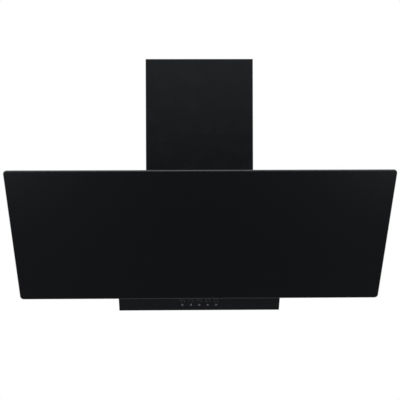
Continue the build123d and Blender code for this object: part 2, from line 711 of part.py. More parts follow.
# ---------------------------------------------------------------------------------- control buttons
def push_button(x):
    low = -SHEET - BUTTON_GAP - BUTTON_COLLAR_THICKNESS
    cap = rod(BUTTON_RADIUS, BUTTON_PROUD - low)
    cap = chamfer(cap.edges().group_by(Axis.Z)[-1], BUTTON_RADIUS * 0.15)
    collar = rod(BUTTON_COLLAR_RADIUS, BUTTON_COLLAR_THICKNESS)
    stem_length = SWITCH_SPRING_ROOM + SWITCH_DEPTH / 3
    stem = Pos(0, 0, -stem_length) * rod(BUTTON_STEM_RADIUS, stem_length)
    return front * Pos(x, BUTTON_RISE, low) * (cap + collar + stem)


def button_springs():
    radius = BUTTON_STEM_RADIUS + SPRING_WIRE / 2 + BUTTON_GAP
    coil = spring(radius, SPRING_WIRE, BUTTON_SPRING_TURNS, SWITCH_SPRING_ROOM)
    return Compound(children=[front * Pos(x, BUTTON_RISE, switch_face) * coil for x in button_offsets])


def switch_body():
    up = around(BUTTON_RISE, SWITCH_LENGTH)
    across = (-switch_half_width, switch_half_width)
    body = front * block(across, up, (switch_face - SWITCH_DEPTH, switch_face))
    for side in (-1, 1):
        post_x = side * switch_post_from_centre
        ear_across = sorted((side * (switch_half_width - 1), post_x + side * (SWITCH_POST_RADIUS + 1)))
        ear_up = around(BUTTON_RISE, 2 * SWITCH_POST_RADIUS)
        body += front * block(ear_across, ear_up, (switch_face - SWITCH_EAR, switch_face))
        post = rod(SWITCH_POST_RADIUS, -SHEET - switch_face)
        body += front * Pos(post_x, BUTTON_RISE, switch_face) * post
    bore_depth = SWITCH_DEPTH / 3 + BUTTON_TRAVEL + 1
    bore = rod(BUTTON_STEM_RADIUS + BUTTON_GAP, bore_depth + 1)
    for x in button_offsets:
        body -= front * Pos(x, BUTTON_RISE, switch_face - bore_depth) * bore
    screw_depth = SWITCH_EAR + SWITCH_SPRING_ROOM
    for place in switch_screw_places:
        body -= place * Pos(0, 0, -screw_depth) * rod(screw_hole_radius, screw_depth + 1)
    return body


# ------------------------------------------------------------------------------------------- blower
blower = Pos(0, -BLOWER_DEPTH, BLOWER_HEIGHT)
blower_axis = blower * Rot(0, 90, 0)    # local Z along the axle, towards the right
half_scroll = SCROLL_WIDTH / 2
impeller_half = half_scroll - SCROLL_WALL - IMPELLER_END_GAP
blade_middle_radius = IMPELLER_RADIUS - IMPELLER_BLADE_CHORD / 2
spider_x = -half_scroll - BUSH_LENGTH - SPIDER_THICKNESS
motor_front = -HUB_LENGTH / 2 - MOTOR_HUB_GAP
bush_ring = INLET_RADIUS + 2 * BUSH_RADIUS
capacitor_foot = (-ELECTRICS_FROM_CENTRE, -SHEET - CAPACITOR_RADIUS, BLOWER_HEIGHT - CAPACITOR_LENGTH)


def spiral_point(share, inset, reach=0.0):
    """A point on the scroll's spiral, from the tongue (share 0) to the front of the mouth (share 1)."""
    tongue_radius = SCROLL_START_RADIUS - inset
    tongue = acos((scroll_back - inset + BLOWER_DEPTH) / tongue_radius)
    angle = tongue - share * (tongue + pi)
    radius = tongue_radius + share * (SCROLL_END_RADIUS - SCROLL_START_RADIUS) + reach
    return (-BLOWER_DEPTH + radius * cos(angle), BLOWER_HEIGHT + radius * sin(angle))


def scroll_section(inset, top):
    """Side view of the scroll, drawn in by `inset`: a spiral that opens into a straight mouth."""
    points = [spiral_point(step / 12, inset) for step in range(13)]
    mouth = Polyline(points[-1], (points[-1][0], top), (points[0][0], top), points[0])
    return make_face(Curve() + [Spline(*points), mouth])


def scroll_solid(inset, top, across):
    face = Plane.YZ * scroll_section(inset, top)
    return Pos(across[0], 0, 0) * extrude(face, amount=across[1] - across[0], dir=(1, 0, 0))


def seam_ear_places():
    """Middles of the ears that hold the two halves of the scroll together."""
    return [spiral_point(share, 0, SEAM_EAR / 2 - SCROLL_WALL) for share in (0.4, 0.66, 0.92)]


def scroll_half(side):
    half = scroll_solid(0, scroll_top, (0, half_scroll))
    mouth_along = (scroll_front - SCROLL_FLANGE, scroll_back + SCROLL_FLANGE)
    flange_up = (scroll_top - SCROLL_FLANGE_THICKNESS, scroll_top)
    half += block((0, half_scroll + SCROLL_FLANGE), mouth_along, flange_up)
    for y, z in seam_ear_places():
        half += block((0, SEAM_EAR_THICKNESS), around(y, SEAM_EAR), around(z, SEAM_EAR))
    half -= scroll_solid(SCROLL_WALL, scroll_top + 1, (-1, half_scroll - SCROLL_WALL))
    half -= blower_axis * rod(INLET_RADIUS, SCROLL_WIDTH)
    for y, z in seam_ear_places():
        half -= Pos(-1, y, z) * Rot(0, 90, 0) * rod(screw_hole_radius, SEAM_EAR_THICKNESS + 2)
    if side < 0:
        half = mirror(half, about=Plane.YZ)
        bush_place = Pos(bush_ring, 0, -SCROLL_WIDTH)
        bush_holes = [blower_axis * Rot(0, 0, turn) * bush_place for turn in spider_turns()]
        half = half - [place * rod(screw_hole_radius, SCROLL_WIDTH) for place in bush_holes]
    return bored(half, collar_screw_places)


def inlet_ring(side):
    lip = Pos(0, 0, half_scroll) * tube(INLET_RADIUS + INLET_LIP, INLET_RADIUS - INLET_LIP, SCROLL_WALL)
    depth = SCROLL_WALL + IMPELLER_END_GAP / 2
    throat = Pos(0, 0, half_scroll - depth) * tube(INLET_RADIUS - FIT_GAP, INLET_RADIUS - INLET_LIP, depth)
    ring = blower_axis * (lip + throat)
    if side < 0:
        ring = mirror(ring, about=Plane.YZ)
    return ring


def impeller():
    blade = Rot(0, 0, IMPELLER_BLADE_ANGLE) * Rectangle(IMPELLER_BLADE_THICKNESS, IMPELLER_BLADE_CHORD)
    ring_width = IMPELLER_BLADE_CHORD * 0.62
    wheel = Pos(0, 0, -HUB_LENGTH / 2) * rod(HUB_RADIUS, HUB_LENGTH)
    wheel += Pos(0, 0, -IMPELLER_RING / 2) * rod(IMPELLER_RADIUS, IMPELLER_RING)
    ring = tube(IMPELLER_RADIUS, IMPELLER_RADIUS - ring_width, IMPELLER_RING)
    wheel += [Pos(0, 0, -impeller_half) * ring, Pos(0, 0, impeller_half - IMPELLER_RING) * ring]
    wide = 2 * impeller_half
    blades = [place * blade for place in PolarLocations(blade_middle_radius, IMPELLER_BLADES)]
    vanes = [Pos(0, 0, -wide / 2) * extrude(face, amount=wide) for face in blades]
    wheel += vanes
    wheel -= Pos(0, 0, -SCROLL_WIDTH) * rod(SHAFT_RADIUS + PRESS_GAP, 2 * SCROLL_WIDTH)
    return blower_axis * wheel


def motor_shaft():
    low = motor_front + 1
    shaft = Pos(0, 0, low) * rod(SHAFT_RADIUS, HUB_LENGTH / 2 + SHAFT_END - low)
    return blower_axis * shaft


def impeller_nut():
    nut = extrude(RegularPolygon(HUB_RADIUS * 0.8, 6), amount=HUB_NUT_LENGTH)
    nut -= Pos(0, 0, -1) * rod(SHAFT_RADIUS + PRESS_GAP, HUB_NUT_LENGTH + 2)
    return blower_axis * Pos(0, 0, HUB_LENGTH / 2) * nut


def spider_turns():
    """Angles of the spider's arms about the axle."""
    return [90 + 360 * arm / SPIDER_ARMS for arm in range(SPIDER_ARMS)]


def motor_housing():
    can = rod(MOTOR_RADIUS, MOTOR_LENGTH)
    can = fillet(can.edges(), MOTOR_EDGE_RADIUS)
    body = blower_axis * Pos(0, 0, motor_front - MOTOR_LENGTH) * can
    tab_foot = spider_x + SPIDER_THICKNESS
    tab_reach = (0, MOTOR_RADIUS + MOTOR_TAB_REACH)
    tab = block(around(0, SPIDER_ARM_WIDTH), tab_reach, (tab_foot, tab_foot + MOTOR_TAB_THICKNESS))
    for turn in spider_turns():
        body += blower_axis * Rot(0, 0, turn - 90) * tab
    body -= blower_axis * Pos(0, 0, motor_front - HUB_RADIUS) * rod(SHAFT_RADIUS + 1, HUB_RADIUS + 2)
    return body - screw_bores(motor_screw_places()[:SPIDER_ARMS])


def motor_screw_places():
    """Inner screws hold the motor on its spider, outer ones the spider on the scroll."""
    inner, outer = [], []
    for turn in spider_turns():
        arm = blower_axis * Rot(0, 0, turn)
        inner.append(arm * Pos(MOTOR_RADIUS + MOTOR_TAB_REACH / 2, 0, spider_x) * Rot(180, 0, 0))
        outer.append(arm * Pos(bush_ring, 0, spider_x) * Rot(180, 0, 0))
    return inner + outer


def motor_bracket():
    ring = tube(MOTOR_RADIUS + MOTOR_TAB_REACH, MOTOR_RADIUS + FIT_GAP, SPIDER_THICKNESS)
    arm_reach = (MOTOR_RADIUS + MOTOR_TAB_REACH / 2, bush_ring + BUSH_RADIUS + 1)
    arm = block(arm_reach, around(0, SPIDER_ARM_WIDTH), (0, SPIDER_THICKNESS))
    spider = ring + [Rot(0, 0, turn) * arm for turn in spider_turns()]
    return blower_axis * Pos(0, 0, spider_x) * spider - screw_bores(motor_screw_places())


def motor_bushes():
    bushes = []
    for turn in spider_turns():
        bush = tube(BUSH_RADIUS, screw_hole_radius, BUSH_LENGTH)
        bushes.append(blower_axis * Rot(0, 0, turn) * Pos(bush_ring, 0, spider_x + SPIDER_THICKNESS) * bush)
    return Compound(children=bushes)


def blower_screws():
    """Screws of the motor, of its spider and of the seam between the scroll halves."""
    inner_length = SPIDER_THICKNESS + MOTOR_TAB_THICKNESS
    outer_length = SPIDER_THICKNESS + BUSH_LENGTH + SCROLL_WALL
    places = motor_screw_places()
    screws = [place * shortened(screw(), inner_length) for place in places[:SPIDER_ARMS]]
    long_screw = screw() + Pos(0, 0, -outer_length) * rod(SCREW_RADIUS, outer_length)
    screws += [place * long_screw for place in places[SPIDER_ARMS:]]
    screws += [Pos(SEAM_EAR_THICKNESS, y, z) * Rot(0, 90, 0) * screw() for y, z in seam_ear_places()]
    return Compound(children=screws)


def run_capacitor():
    can = rod(CAPACITOR_RADIUS, CAPACITOR_LENGTH)
    can = fillet(can.edges().group_by(Axis.Z)[-1], CAPACITOR_EDGE_RADIUS)
    return Pos(*capacitor_foot) * can


# ---------------------------------------------------------------------------- outlet and the damper
duct = Pos(0, duct_y, top_of_housing)


def outlet_collar():
    spigot = tube(DUCT_RADIUS, duct_bore, COLLAR_HEIGHT)
    flange = tube(DUCT_RADIUS + COLLAR_FLANGE, duct_bore, COLLAR_FLANGE_THICKNESS)
    ledge_top = DAMPER_HEIGHT - DAMPER_THICKNESS / 2 - DAMPER_LEDGE_GAP
    ledge = Pos(0, 0, ledge_top - COLLAR_WALL) * tube(duct_bore + 1, duct_bore - COLLAR_WALL, COLLAR_WALL)
    collar = duct * (spigot + flange + ledge)
    rod_hole = rod(DAMPER_ROD_RADIUS + FIT_GAP, 2 * DUCT_RADIUS + 2)
    collar -= damper_axis * Pos(0, 0, -DUCT_RADIUS - 1) * rod_hole
    return bored(collar, collar_screw_places)


damper_axis = Pos(0, duct_y, damper_z) * Rot(-90, 0, 0)    # local Z towards the wall


def damper_rod():
    length = 2 * (DUCT_RADIUS - DAMPER_ROD_INSET)
    return damper_axis * Pos(0, 0, -length / 2) * rod(DAMPER_ROD_RADIUS, length)


def damper_flap(side):
    disc = Pos(0, 0, -DAMPER_THICKNESS / 2) * rod(duct_bore - DAMPER_EDGE_GAP, DAMPER_THICKNESS)
    reach = DUCT_RADIUS
    flap = disc & block(sorted((side * DAMPER_MIDDLE_GAP, side * reach)), (-reach, reach), (-reach, reach))
    flap = Pos(0, duct_y, damper_z) * flap
    for pair in (-1, 1):
        middle = pair * KNUCKLE_PITCH * 1.5 + side * KNUCKLE_PITCH / 2
        along = around(duct_y + middle, KNUCKLE_LENGTH)
        flap += Pos(0, along[0], damper_z) * Rot(-90, 0, 0) * rod(KNUCKLE_RADIUS, KNUCKLE_LENGTH)
        web = sorted((0, side * (DAMPER_MIDDLE_GAP + 1)))
        flap += block(web, along, around(damper_z, DAMPER_THICKNESS))
    return flap - damper_axis * Pos(0, 0, -reach) * rod(DAMPER_ROD_RADIUS + RUNNING_GAP, 2 * reach)


# ------------------------------------------------------------------------------------------ chimney
def channel(half, front_at, back_at, sheet, low, high):
    """A sheet bent to three sides of a box, open towards the wall, with rounded front bends."""
    outer = block((-half, half), (front_at, back_at), (low, high))
    outer = fillet(outer.edges().filter_by(Axis.Z).group_by(Axis.Y)[0], CHIMNEY_BEND)
    inner_half = half - sheet
    inner = block((-inner_half, inner_half), (front_at + sheet, back_at + 1), (low - 1, high + 1))
    inner = fillet(inner.edges().filter_by(Axis.Z).group_by(Axis.Y)[0], CHIMNEY_BEND - sheet / 2)
    return outer - inner


def chimney_lower_cover():
    half = CHIMNEY_WIDTH / 2
    cover = channel(half, -CHIMNEY_DEPTH, 0, SHEET, chimney_foot, chimney_top)
    tab_across = (half - SHEET - CHIMNEY_TAB, half - SHEET / 2)
    tab_along = (-CHIMNEY_DEPTH + 3 * SHEET, -3 * SHEET)
    tab = block(tab_across, tab_along, (chimney_foot, chimney_foot + SHEET))
    cover = joined([cover] + both_sides(tab))
    return bored(cover, chimney_screw_places)


def chimney_upper_cover():
    cover = channel(upper_half_width, upper_front, -CHIMNEY_GAP, SHEET, upper_foot, upper_top)
    vent_middle = upper_front / 2
    for row in range(VENT_COUNT):
        z = upper_top - VENT_DROP - row * VENT_PITCH
        across = (-CHIMNEY_WIDTH, CHIMNEY_WIDTH)
        cover -= block(across, around(vent_middle, VENT_LENGTH), (z - VENT_HEIGHT, z))
    return cover - screw_bores(bracket_screw_places)


def chimney_wall_bracket():
    half = upper_half_width - SHEET
    up = around(bracket_middle, BRACKET_HEIGHT)
    strip = block((-half, half), (-BRACKET_SHEET, 0), up)
    ear = block((half - BRACKET_SHEET, half), (-BRACKET_REACH, 0), up)
    bracket = joined([strip] + both_sides(ear))
    for x in around(0, BRACKET_HOLES_APART):
        hole = Rot(-90, 0, 0) * rod(WALL_HOLE_RADIUS, 4 * BRACKET_SHEET)
        bracket -= Pos(x, -2 * BRACKET_SHEET, bracket_middle) * hole
    return bracket - screw_bores(bracket_screw_places)


def bracket_screws():
    shank = Pos(0, 0, -BRACKET_SCREW_LENGTH) * rod(SCREW_RADIUS, BRACKET_SCREW_LENGTH)
    flat_screw = rod(SCREW_HEAD_RADIUS, CHIMNEY_GAP / 2) + shank
    slot = block(around(0, SCREW_HEAD_RADIUS), around(0, SCREW_RECESS), (CHIMNEY_GAP / 4, CHIMNEY_GAP))
    flat_screw = flat_screw - slot - Rot(0, 0, 90) * slot
    return Compound(children=[place * flat_screw for place in bracket_screw_places])


# -------------------------------------------------------------------------------------------- lamps
lamp_places = [Pos(side * LAMP_FROM_CENTRE, -HOUSING_FOOT_DEPTH / 2, 0) for side in (-1, 1)]
lamp_bore = LAMP_RADIUS - LAMP_WALL


def lamp_bezels():
    ring = tube(LAMP_RADIUS, lamp_bore, LAMP_DEPTH)
    flange = tube(LAMP_RADIUS + LAMP_FLANGE, lamp_bore, LAMP_FLANGE_THICKNESS)
    flange = Pos(0, 0, -LAMP_FLANGE_THICKNESS) * flange
    return Compound(children=[place * (ring + flange) for place in lamp_places])


def lamp_lenses():
    lens = Pos(0, 0, -LAMP_FLANGE_THICKNESS / 2) * rod(lamp_bore - FIT_GAP, LENS_THICKNESS)
    return Compound(children=[place * lens for place in lamp_places])


def lamp_boards():
    board = rod(lamp_bore - FIT_GAP, LAMP_BOARD_THICKNESS)
    emitter = Pos(lamp_bore / 2, 0, 0) * Box(EMITTER_SIZE, EMITTER_SIZE, EMITTER_SIZE / 2)
    emitters = [Rot(0, 0, turn) * emitter for turn in range(0, 360, 60)]
    module = Pos(0, 0, LAMP_DEPTH - LAMP_BOARD_THICKNESS) * (board + emitters)
    return Compound(children=[place * module for place in lamp_places])


# --------------------------------------------------------------------------------------- electrics
def terminal_box():
    wide, deep, high = TERMINAL_BOX
    across = around(-ELECTRICS_FROM_CENTRE, wide)
    up = (ELECTRICS_HEIGHT, ELECTRICS_HEIGHT + high)
    box = block(across, (-SHEET - deep, -SHEET), up)
    wall = TERMINAL_BOX_WALL
    hollow_across = (across[0] + wall, across[1] - wall)
    box -= block(hollow_across, (-SHEET - deep - 1, -SHEET - wall), (up[0] + wall, up[1] - wall))
    strip_along = (-SHEET - wall - deep / 2, -SHEET - wall)
    strip_up = around(ELECTRICS_HEIGHT + high / 2, high * 0.35)
    return box + block(around(-ELECTRICS_FROM_CENTRE, wide * 0.7), strip_along, strip_up)


def terminal_box_cover():
    wide, deep, high = TERMINAL_BOX
    along = (-SHEET - deep - TERMINAL_COVER, -SHEET - deep)
    return block(around(-ELECTRICS_FROM_CENTRE, wide), along, (ELECTRICS_HEIGHT, ELECTRICS_HEIGHT + high))


def lamp_driver():
    wide, deep, high = DRIVER_BOX
    up = (ELECTRICS_HEIGHT, ELECTRICS_HEIGHT + high)
    case = block(around(ELECTRICS_FROM_CENTRE, wide), (-SHEET - deep, -SHEET), up)
    return fillet(case.edges().filter_by(Axis.Y), DRIVER_EDGE_RADIUS)


def mains_gland():
    body = rod(GLAND_RADIUS, SHEET + GLAND_NUT_THICKNESS + GLAND_HEIGHT)
    body = Pos(0, 0, -SHEET - GLAND_NUT_THICKNESS) * body
    flange = rod(GLAND_FLANGE_RADIUS, GLAND_HEIGHT / 3)
    nut = extrude(RegularPolygon(GLAND_FLANGE_RADIUS, 6), amount=GLAND_NUT_THICKNESS)
    gland = body + flange + Pos(0, 0, -SHEET - GLAND_NUT_THICKNESS) * nut
    gland -= Pos(0, 0, -HOUSING_HEIGHT) * rod(GLAND_BORE_RADIUS, 2 * HOUSING_HEIGHT)
    return Pos(-GLAND_FROM_CENTRE, -GLAND_DEPTH, top_of_housing) * gland


def front_point(across, up, out):
    """A point given in the directions of the slanted front, as (x, y, z)."""
    return tuple((front * Pos(across, up, out)).position)


def lead(*points):
    """A lead of round section along straight runs joined by bends."""
    path = FilletPolyline(*points, radius=LEAD_BEND) if len(points) > 2 else Line(*points)
    start = Plane(origin=path @ 0, z_dir=path % 0)
    return sweep(start * Circle(LEAD_RADIUS), path=path)


def internal_wiring():
    """Leads between the boxes on the back panel and the motor, its capacitor, the keys and the lamps."""
    box_x, driver_x = -ELECTRICS_FROM_CENTRE, ELECTRICS_FROM_CENTRE
    box_top = ELECTRICS_HEIGHT + TERMINAL_BOX[2]
    box_y = -SHEET - TERMINAL_BOX[1] / 2
    motor_end = motor_front - MOTOR_LENGTH
    motor_y = -BLOWER_DEPTH + MOTOR_RADIUS / 2
    motor_z = BLOWER_HEIGHT - MOTOR_RADIUS / 2
    beside_motor = motor_end - 2.5 * LEAD_BEND
    level = (box_top + motor_z) / 2
    motor = lead(
        (motor_end, motor_y, motor_z),
        (beside_motor, motor_y, motor_z),
        (beside_motor, motor_y, level),
        (beside_motor, box_y, level),
        (beside_motor, box_y, box_top),
    )
    capacitor = lead(capacitor_foot, (capacitor_foot[0], capacitor_foot[1], box_top))

    key_x = -switch_half_width / 2
    switch_back = switch_face - SWITCH_DEPTH
    behind_keys = front_point(key_x, BUTTON_RISE, switch_back - 2 * LEAD_BEND)
    box_entry = (box_x, -SHEET - TERMINAL_BOX[1] - TERMINAL_COVER, ELECTRICS_HEIGHT + TERMINAL_BOX[2] / 4)
    keys = lead(
        front_point(key_x, BUTTON_RISE, switch_back),
        behind_keys,
        (box_x, behind_keys[1], box_entry[2]),
        box_entry,
    )

    driver_y = -SHEET - DRIVER_BOX[1] / 2
    driver_z = ELECTRICS_HEIGHT + DRIVER_BOX[2] / 2
    driver_side = driver_x - DRIVER_BOX[0] / 2
    driver = lead((box_x + TERMINAL_BOX[0] / 2, driver_y, driver_z), (driver_side, driver_y, driver_z))
    lamp_y = -HOUSING_FOOT_DEPTH / 2
    run_z = LAMP_DEPTH + LAMP_LEAD_RISE
    near_x = driver_side + 2 * LEAD_BEND
    near_lamp = lead(
        (LAMP_FROM_CENTRE, lamp_y, LAMP_DEPTH),
        (LAMP_FROM_CENTRE, lamp_y, run_z),
        (LAMP_FROM_CENTRE, driver_y, run_z),
        (LAMP_FROM_CENTRE, driver_y, ELECTRICS_HEIGHT),
    )
    far_lamp = lead(
        (-LAMP_FROM_CENTRE, lamp_y, LAMP_DEPTH),
        (-LAMP_FROM_CENTRE, lamp_y, run_z),
        (near_x, lamp_y, run_z),
        (near_x, driver_y, run_z),
        (near_x, driver_y, ELECTRICS_HEIGHT),
    )
    return Compound(children=[motor, capacitor, keys, driver, near_lamp, far_lamp])


# ----------------------------------------------------------------------------------------- assembly
button_names = ["button_off", "button_speed_1", "button_speed_2", "button_speed_3", "button_lamp"]

pieces = {
    "back_panel": back_panel(),
    "left_side_panel": side_panel(-1),
    "right_side_panel": side_panel(1),
    "top_plate": top_plate(),
    "front_panel": front_panel(),
    "control_strip": control_strip(),
    "bottom_panel": bottom_panel(),
    "housing_screws": housing_screws(),
    "glass_panel": glass_panel(),
    "glass_bond_strips": glass_bond_strips(),
    "glass_carrier": glass_carrier(),
    "hinge_base_left": hinge_base(-1),
    "hinge_base_right": hinge_base(1),
    "hinge_leaf_left": hinge_leaf(-1),
    "hinge_leaf_right": hinge_leaf(1),
    "hinge_pins": hinge_pins(),
    "hinge_leaf_screws": hinge_leaf_screws(),
    "magnet_catches": magnet_catches(),
    "catch_plates": catch_plates(),
    "filter_frame": filter_frame(),
    "filter_front_grille": filter_front_grille(),
    "filter_mesh_pack": filter_mesh_pack(),
    "filter_rear_grille": filter_rear_grille(),
    "filter_latch": filter_latch(),
    "filter_latch_spring": filter_latch_spring(),
    "switch_body": switch_body(),
    "button_springs": button_springs(),
    "scroll_half_left": scroll_half(-1),
    "scroll_half_right": scroll_half(1),
    "inlet_ring_left": inlet_ring(-1),
    "inlet_ring_right": inlet_ring(1),
    "impeller": impeller(),
    "impeller_nut": impeller_nut(),
    "motor_shaft": motor_shaft(),
    "motor_housing": motor_housing(),
    "motor_bracket": motor_bracket(),
    "motor_bushes": motor_bushes(),
    "blower_screws": blower_screws(),
    "run_capacitor": run_capacitor(),
    "outlet_collar": outlet_collar(),
    "damper_rod": damper_rod(),
    "damper_flap_left": damper_flap(-1),
    "damper_flap_right": damper_flap(1),
    "chimney_lower_cover": chimney_lower_cover(),
    "chimney_upper_cover": chimney_upper_cover(),
    "chimney_wall_bracket": chimney_wall_bracket(),
    "bracket_screws": bracket_screws(),
    "lamp_bezels": lamp_bezels(),
    "lamp_lenses": lamp_lenses(),
    "lamp_boards": lamp_boards(),
    "terminal_box": terminal_box(),
    "terminal_box_cover": terminal_box_cover(),
    "lamp_driver": lamp_driver(),
    "mains_gland": mains_gland(),
    "internal_wiring": internal_wiring(),
}
for name, x in zip(button_names, button_offsets):
    pieces[name] = push_button(x)

# The stored origin is in the middle of the wall screw holes, on the wall.
to_stored_frame = Pos(0, 0, -WALL_HOLES_HEIGHT)

os.makedirs("parts", exist_ok=True)
for name, piece in pieces.items():
    export_step(to_stored_frame * piece, f"parts/{name}.step")
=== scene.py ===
import json
import math

import bpy
from mathutils import Matrix, Vector

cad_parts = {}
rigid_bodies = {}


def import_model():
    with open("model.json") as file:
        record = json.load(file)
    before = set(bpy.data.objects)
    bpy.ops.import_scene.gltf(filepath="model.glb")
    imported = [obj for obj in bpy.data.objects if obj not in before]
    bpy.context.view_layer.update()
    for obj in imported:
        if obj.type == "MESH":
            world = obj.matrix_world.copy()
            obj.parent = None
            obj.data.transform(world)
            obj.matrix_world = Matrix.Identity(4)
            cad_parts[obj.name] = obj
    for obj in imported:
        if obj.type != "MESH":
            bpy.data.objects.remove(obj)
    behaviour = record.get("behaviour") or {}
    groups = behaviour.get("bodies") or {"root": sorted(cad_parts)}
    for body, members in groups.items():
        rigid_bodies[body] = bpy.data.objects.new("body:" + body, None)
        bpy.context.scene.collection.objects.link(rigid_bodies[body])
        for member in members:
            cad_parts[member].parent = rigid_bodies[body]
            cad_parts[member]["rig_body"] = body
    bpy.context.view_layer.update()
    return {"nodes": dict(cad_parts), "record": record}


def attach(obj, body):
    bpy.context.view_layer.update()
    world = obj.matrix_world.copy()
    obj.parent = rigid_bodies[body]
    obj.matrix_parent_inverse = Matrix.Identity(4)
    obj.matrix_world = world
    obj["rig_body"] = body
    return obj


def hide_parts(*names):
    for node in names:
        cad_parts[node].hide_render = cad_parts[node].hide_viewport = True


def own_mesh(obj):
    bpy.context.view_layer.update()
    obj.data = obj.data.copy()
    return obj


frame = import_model()


# ---------------------------------------------------------------------------------- studio camera
# The picture is taken almost level and straight from the front, a little under the top edge of the
# glass and two and a half metres away, through a long lens.
CAMERA_PLACE = (-0.0403, -2.489, 0.0791)
CAMERA_PITCH = 89.53
CAMERA_ROLL = 0.19
CAMERA_HEADING = -0.992
camera_data = bpy.data.cameras.new("studio_camera")
camera_data.sensor_width = 36.0
camera_data.lens = 83.05
camera_data.shift_x = 0.0019
camera = bpy.data.objects.new("studio_camera", camera_data)
camera.location = CAMERA_PLACE
camera_turn = (CAMERA_PITCH, CAMERA_ROLL, CAMERA_HEADING)
camera.rotation_euler = [math.radians(angle) for angle in camera_turn]
bpy.context.scene.collection.objects.link(camera)
bpy.context.scene.camera = camera
bpy.context.scene.view_settings.view_transform = "Standard"


# ----------------------------------------------------------------------------------- studio light
# One wide soft light hangs above and in front of the hood, a weaker one fills from the left, and two
# small ones wash the floor at its sides. What the hood mirrors of the room is white behind and above
# it, dim in front of it, and pale below, like a floor further away.
def shader_step(tree, kind, wires=(), **settings):
    """Adds a shader node and sets or links its inputs."""
    step = tree.nodes.new("ShaderNode" + kind)
    for name, value in settings.items():
        setattr(step, name, value)
    for socket, value in dict(wires).items():
        if isinstance(value, bpy.types.NodeSocket):
            tree.links.new(value, step.inputs[socket])
        else:
            step.inputs[socket].default_value = value
    return step


def ranged(tree, value, low, high, to_low, to_high, **settings):
    """Maps a value from one range to another, held at the ends."""
    wires = {"Value": value, "From Min": low, "From Max": high, "To Min": to_low, "To Max": to_high}
    return shader_step(tree, "MapRange", wires, **settings).outputs[0]


def combined(tree, a, b, operation="MULTIPLY", **settings):
    """Two values worked into one, by multiplying unless another operation is named."""
    return shader_step(tree, "Math", {0: a, 1: b}, operation=operation, **settings).outputs[0]


def soft_light(name, place, target, size, power):
    """A rectangle of light of this width and height in metres that looks at its target."""
    lamp = bpy.data.lights.new(name, "AREA")
    lamp.shape = "RECTANGLE"
    lamp.size, lamp.size_y = size
    lamp.energy = power
    holder = bpy.data.objects.new(name, lamp)
    holder.location = place
    holder.rotation_euler = (Vector(target) - Vector(place)).to_track_quat("-Z", "Y").to_euler()
    bpy.context.scene.collection.objects.link(holder)


HOOD_MIDDLE = (0, -0.2, 0.1)
soft_light("overhead_softbox", (0, -1.9, 2.6), HOOD_MIDDLE, (3.0, 1.8), 32)
soft_light("left_fill", (-2.6, -2.0, 0.9), HOOD_MIDDLE, (1.2, 1.8), 9)
soft_light("left_floor_wash", (-1.0, -1.3, -0.45), (-1.0, -1.301, -0.88), (0.4, 0.4), 8)
soft_light("right_floor_wash", (1.0, -1.3, -0.45), (1.0, -1.301, -0.88), (0.4, 0.4), 8)

ROOM_LIGHT = 0.42
DIM_FRONT = 0.045
FAR_FLOOR = 0.3
FRONT_TO_REAR = (-0.5, 0.3)
LEVEL_TO_ABOVE = (0.02, 0.30)
LEVEL_TO_BELOW = (-0.18, -0.34)
world = bpy.data.worlds.new("studio_room")
bpy.context.scene.world = world
world.use_nodes = True
room = world.node_tree
room.nodes.clear()
ray = shader_step(room, "LightPath").outputs
seen = combined(room, ray["Is Camera Ray"], ray["Is Glossy Ray"], "ADD")
seen = combined(room, seen, ray["Is Transmission Ray"], "ADD", use_clamp=True)
towards = shader_step(room, "SeparateXYZ", {0: shader_step(room, "TexCoord").outputs["Generated"]})
ahead, up = towards.outputs["Y"], towards.outputs["Z"]
behind = ranged(room, ahead, *FRONT_TO_REAR, DIM_FRONT, 1.0, interpolation_type="SMOOTHSTEP")
above = ranged(room, up, *LEVEL_TO_ABOVE, 0.0, 1.0)
below = ranged(room, up, *LEVEL_TO_BELOW, 0.0, FAR_FLOOR)
shine = combined(room, combined(room, behind, above, "MAXIMUM"), below, "MAXIMUM")
shine = combined(room, shine, ray["Is Camera Ray"], "MAXIMUM")
backdrop = shader_step(room, "Background", {"Color": shine, "Strength": 1.0})
daylight = shader_step(room, "Background", {"Color": (1, 1, 1, 1), "Strength": ROOM_LIGHT})
lit = shader_step(room, "MixShader", {0: seen, 1: daylight.outputs[0], 2: backdrop.outputs[0]})
shader_step(room, "OutputWorld", {"Surface": lit.outputs[0]})


# ------------------------------------------------------------------------------------ studio floor
# A plain pale floor at the height of a hob, well below the hood. The camera sees it nearly white and
# with the hood's soft shadow, the hood mirrors it white behind itself, and from below it is clear.
FLOOR_HEIGHT = -0.88
FLOOR_RADIUS = 1.9
FLOOR_MIDDLE = -0.25
SEEN_TONE = 0.95
LIT_TONE = 0.325
WHITE_SHARE = 0.75
REAR_FLOOR = (0.17, 0.40)
bpy.ops.object.select_all(action="DESELECT")
bpy.ops.mesh.primitive_circle_add(
    vertices=96, radius=FLOOR_RADIUS, fill_type="NGON", location=(0, FLOOR_MIDDLE, FLOOR_HEIGHT)
)
floor = bpy.context.object
floor.name = "studio_floor"
floor_paint = bpy.data.materials.new("pale_floor")
floor_paint.use_nodes = True
tree = floor_paint.node_tree
tree.nodes.clear()
camera_ray = shader_step(tree, "LightPath").outputs["Is Camera Ray"]
paint_tone = ranged(tree, camera_ray, 0.0, 1.0, LIT_TONE, SEEN_TONE)
matt = shader_step(tree, "BsdfDiffuse", {"Color": paint_tone})
white = shader_step(tree, "Emission", {"Color": (1, 1, 1, 1), "Strength": 1.0})
place_on_floor = shader_step(tree, "TexCoord").outputs["Object"]
place_on_floor = shader_step(tree, "SeparateXYZ", {0: place_on_floor}).outputs
rear = ranged(tree, place_on_floor["Y"], *REAR_FLOOR, 0.0, 1.0)
share = combined(tree, combined(tree, camera_ray, rear, "MAXIMUM"), WHITE_SHARE)
mixed = shader_step(tree, "MixShader", {0: share, 1: matt.outputs[0], 2: white.outputs[0]})
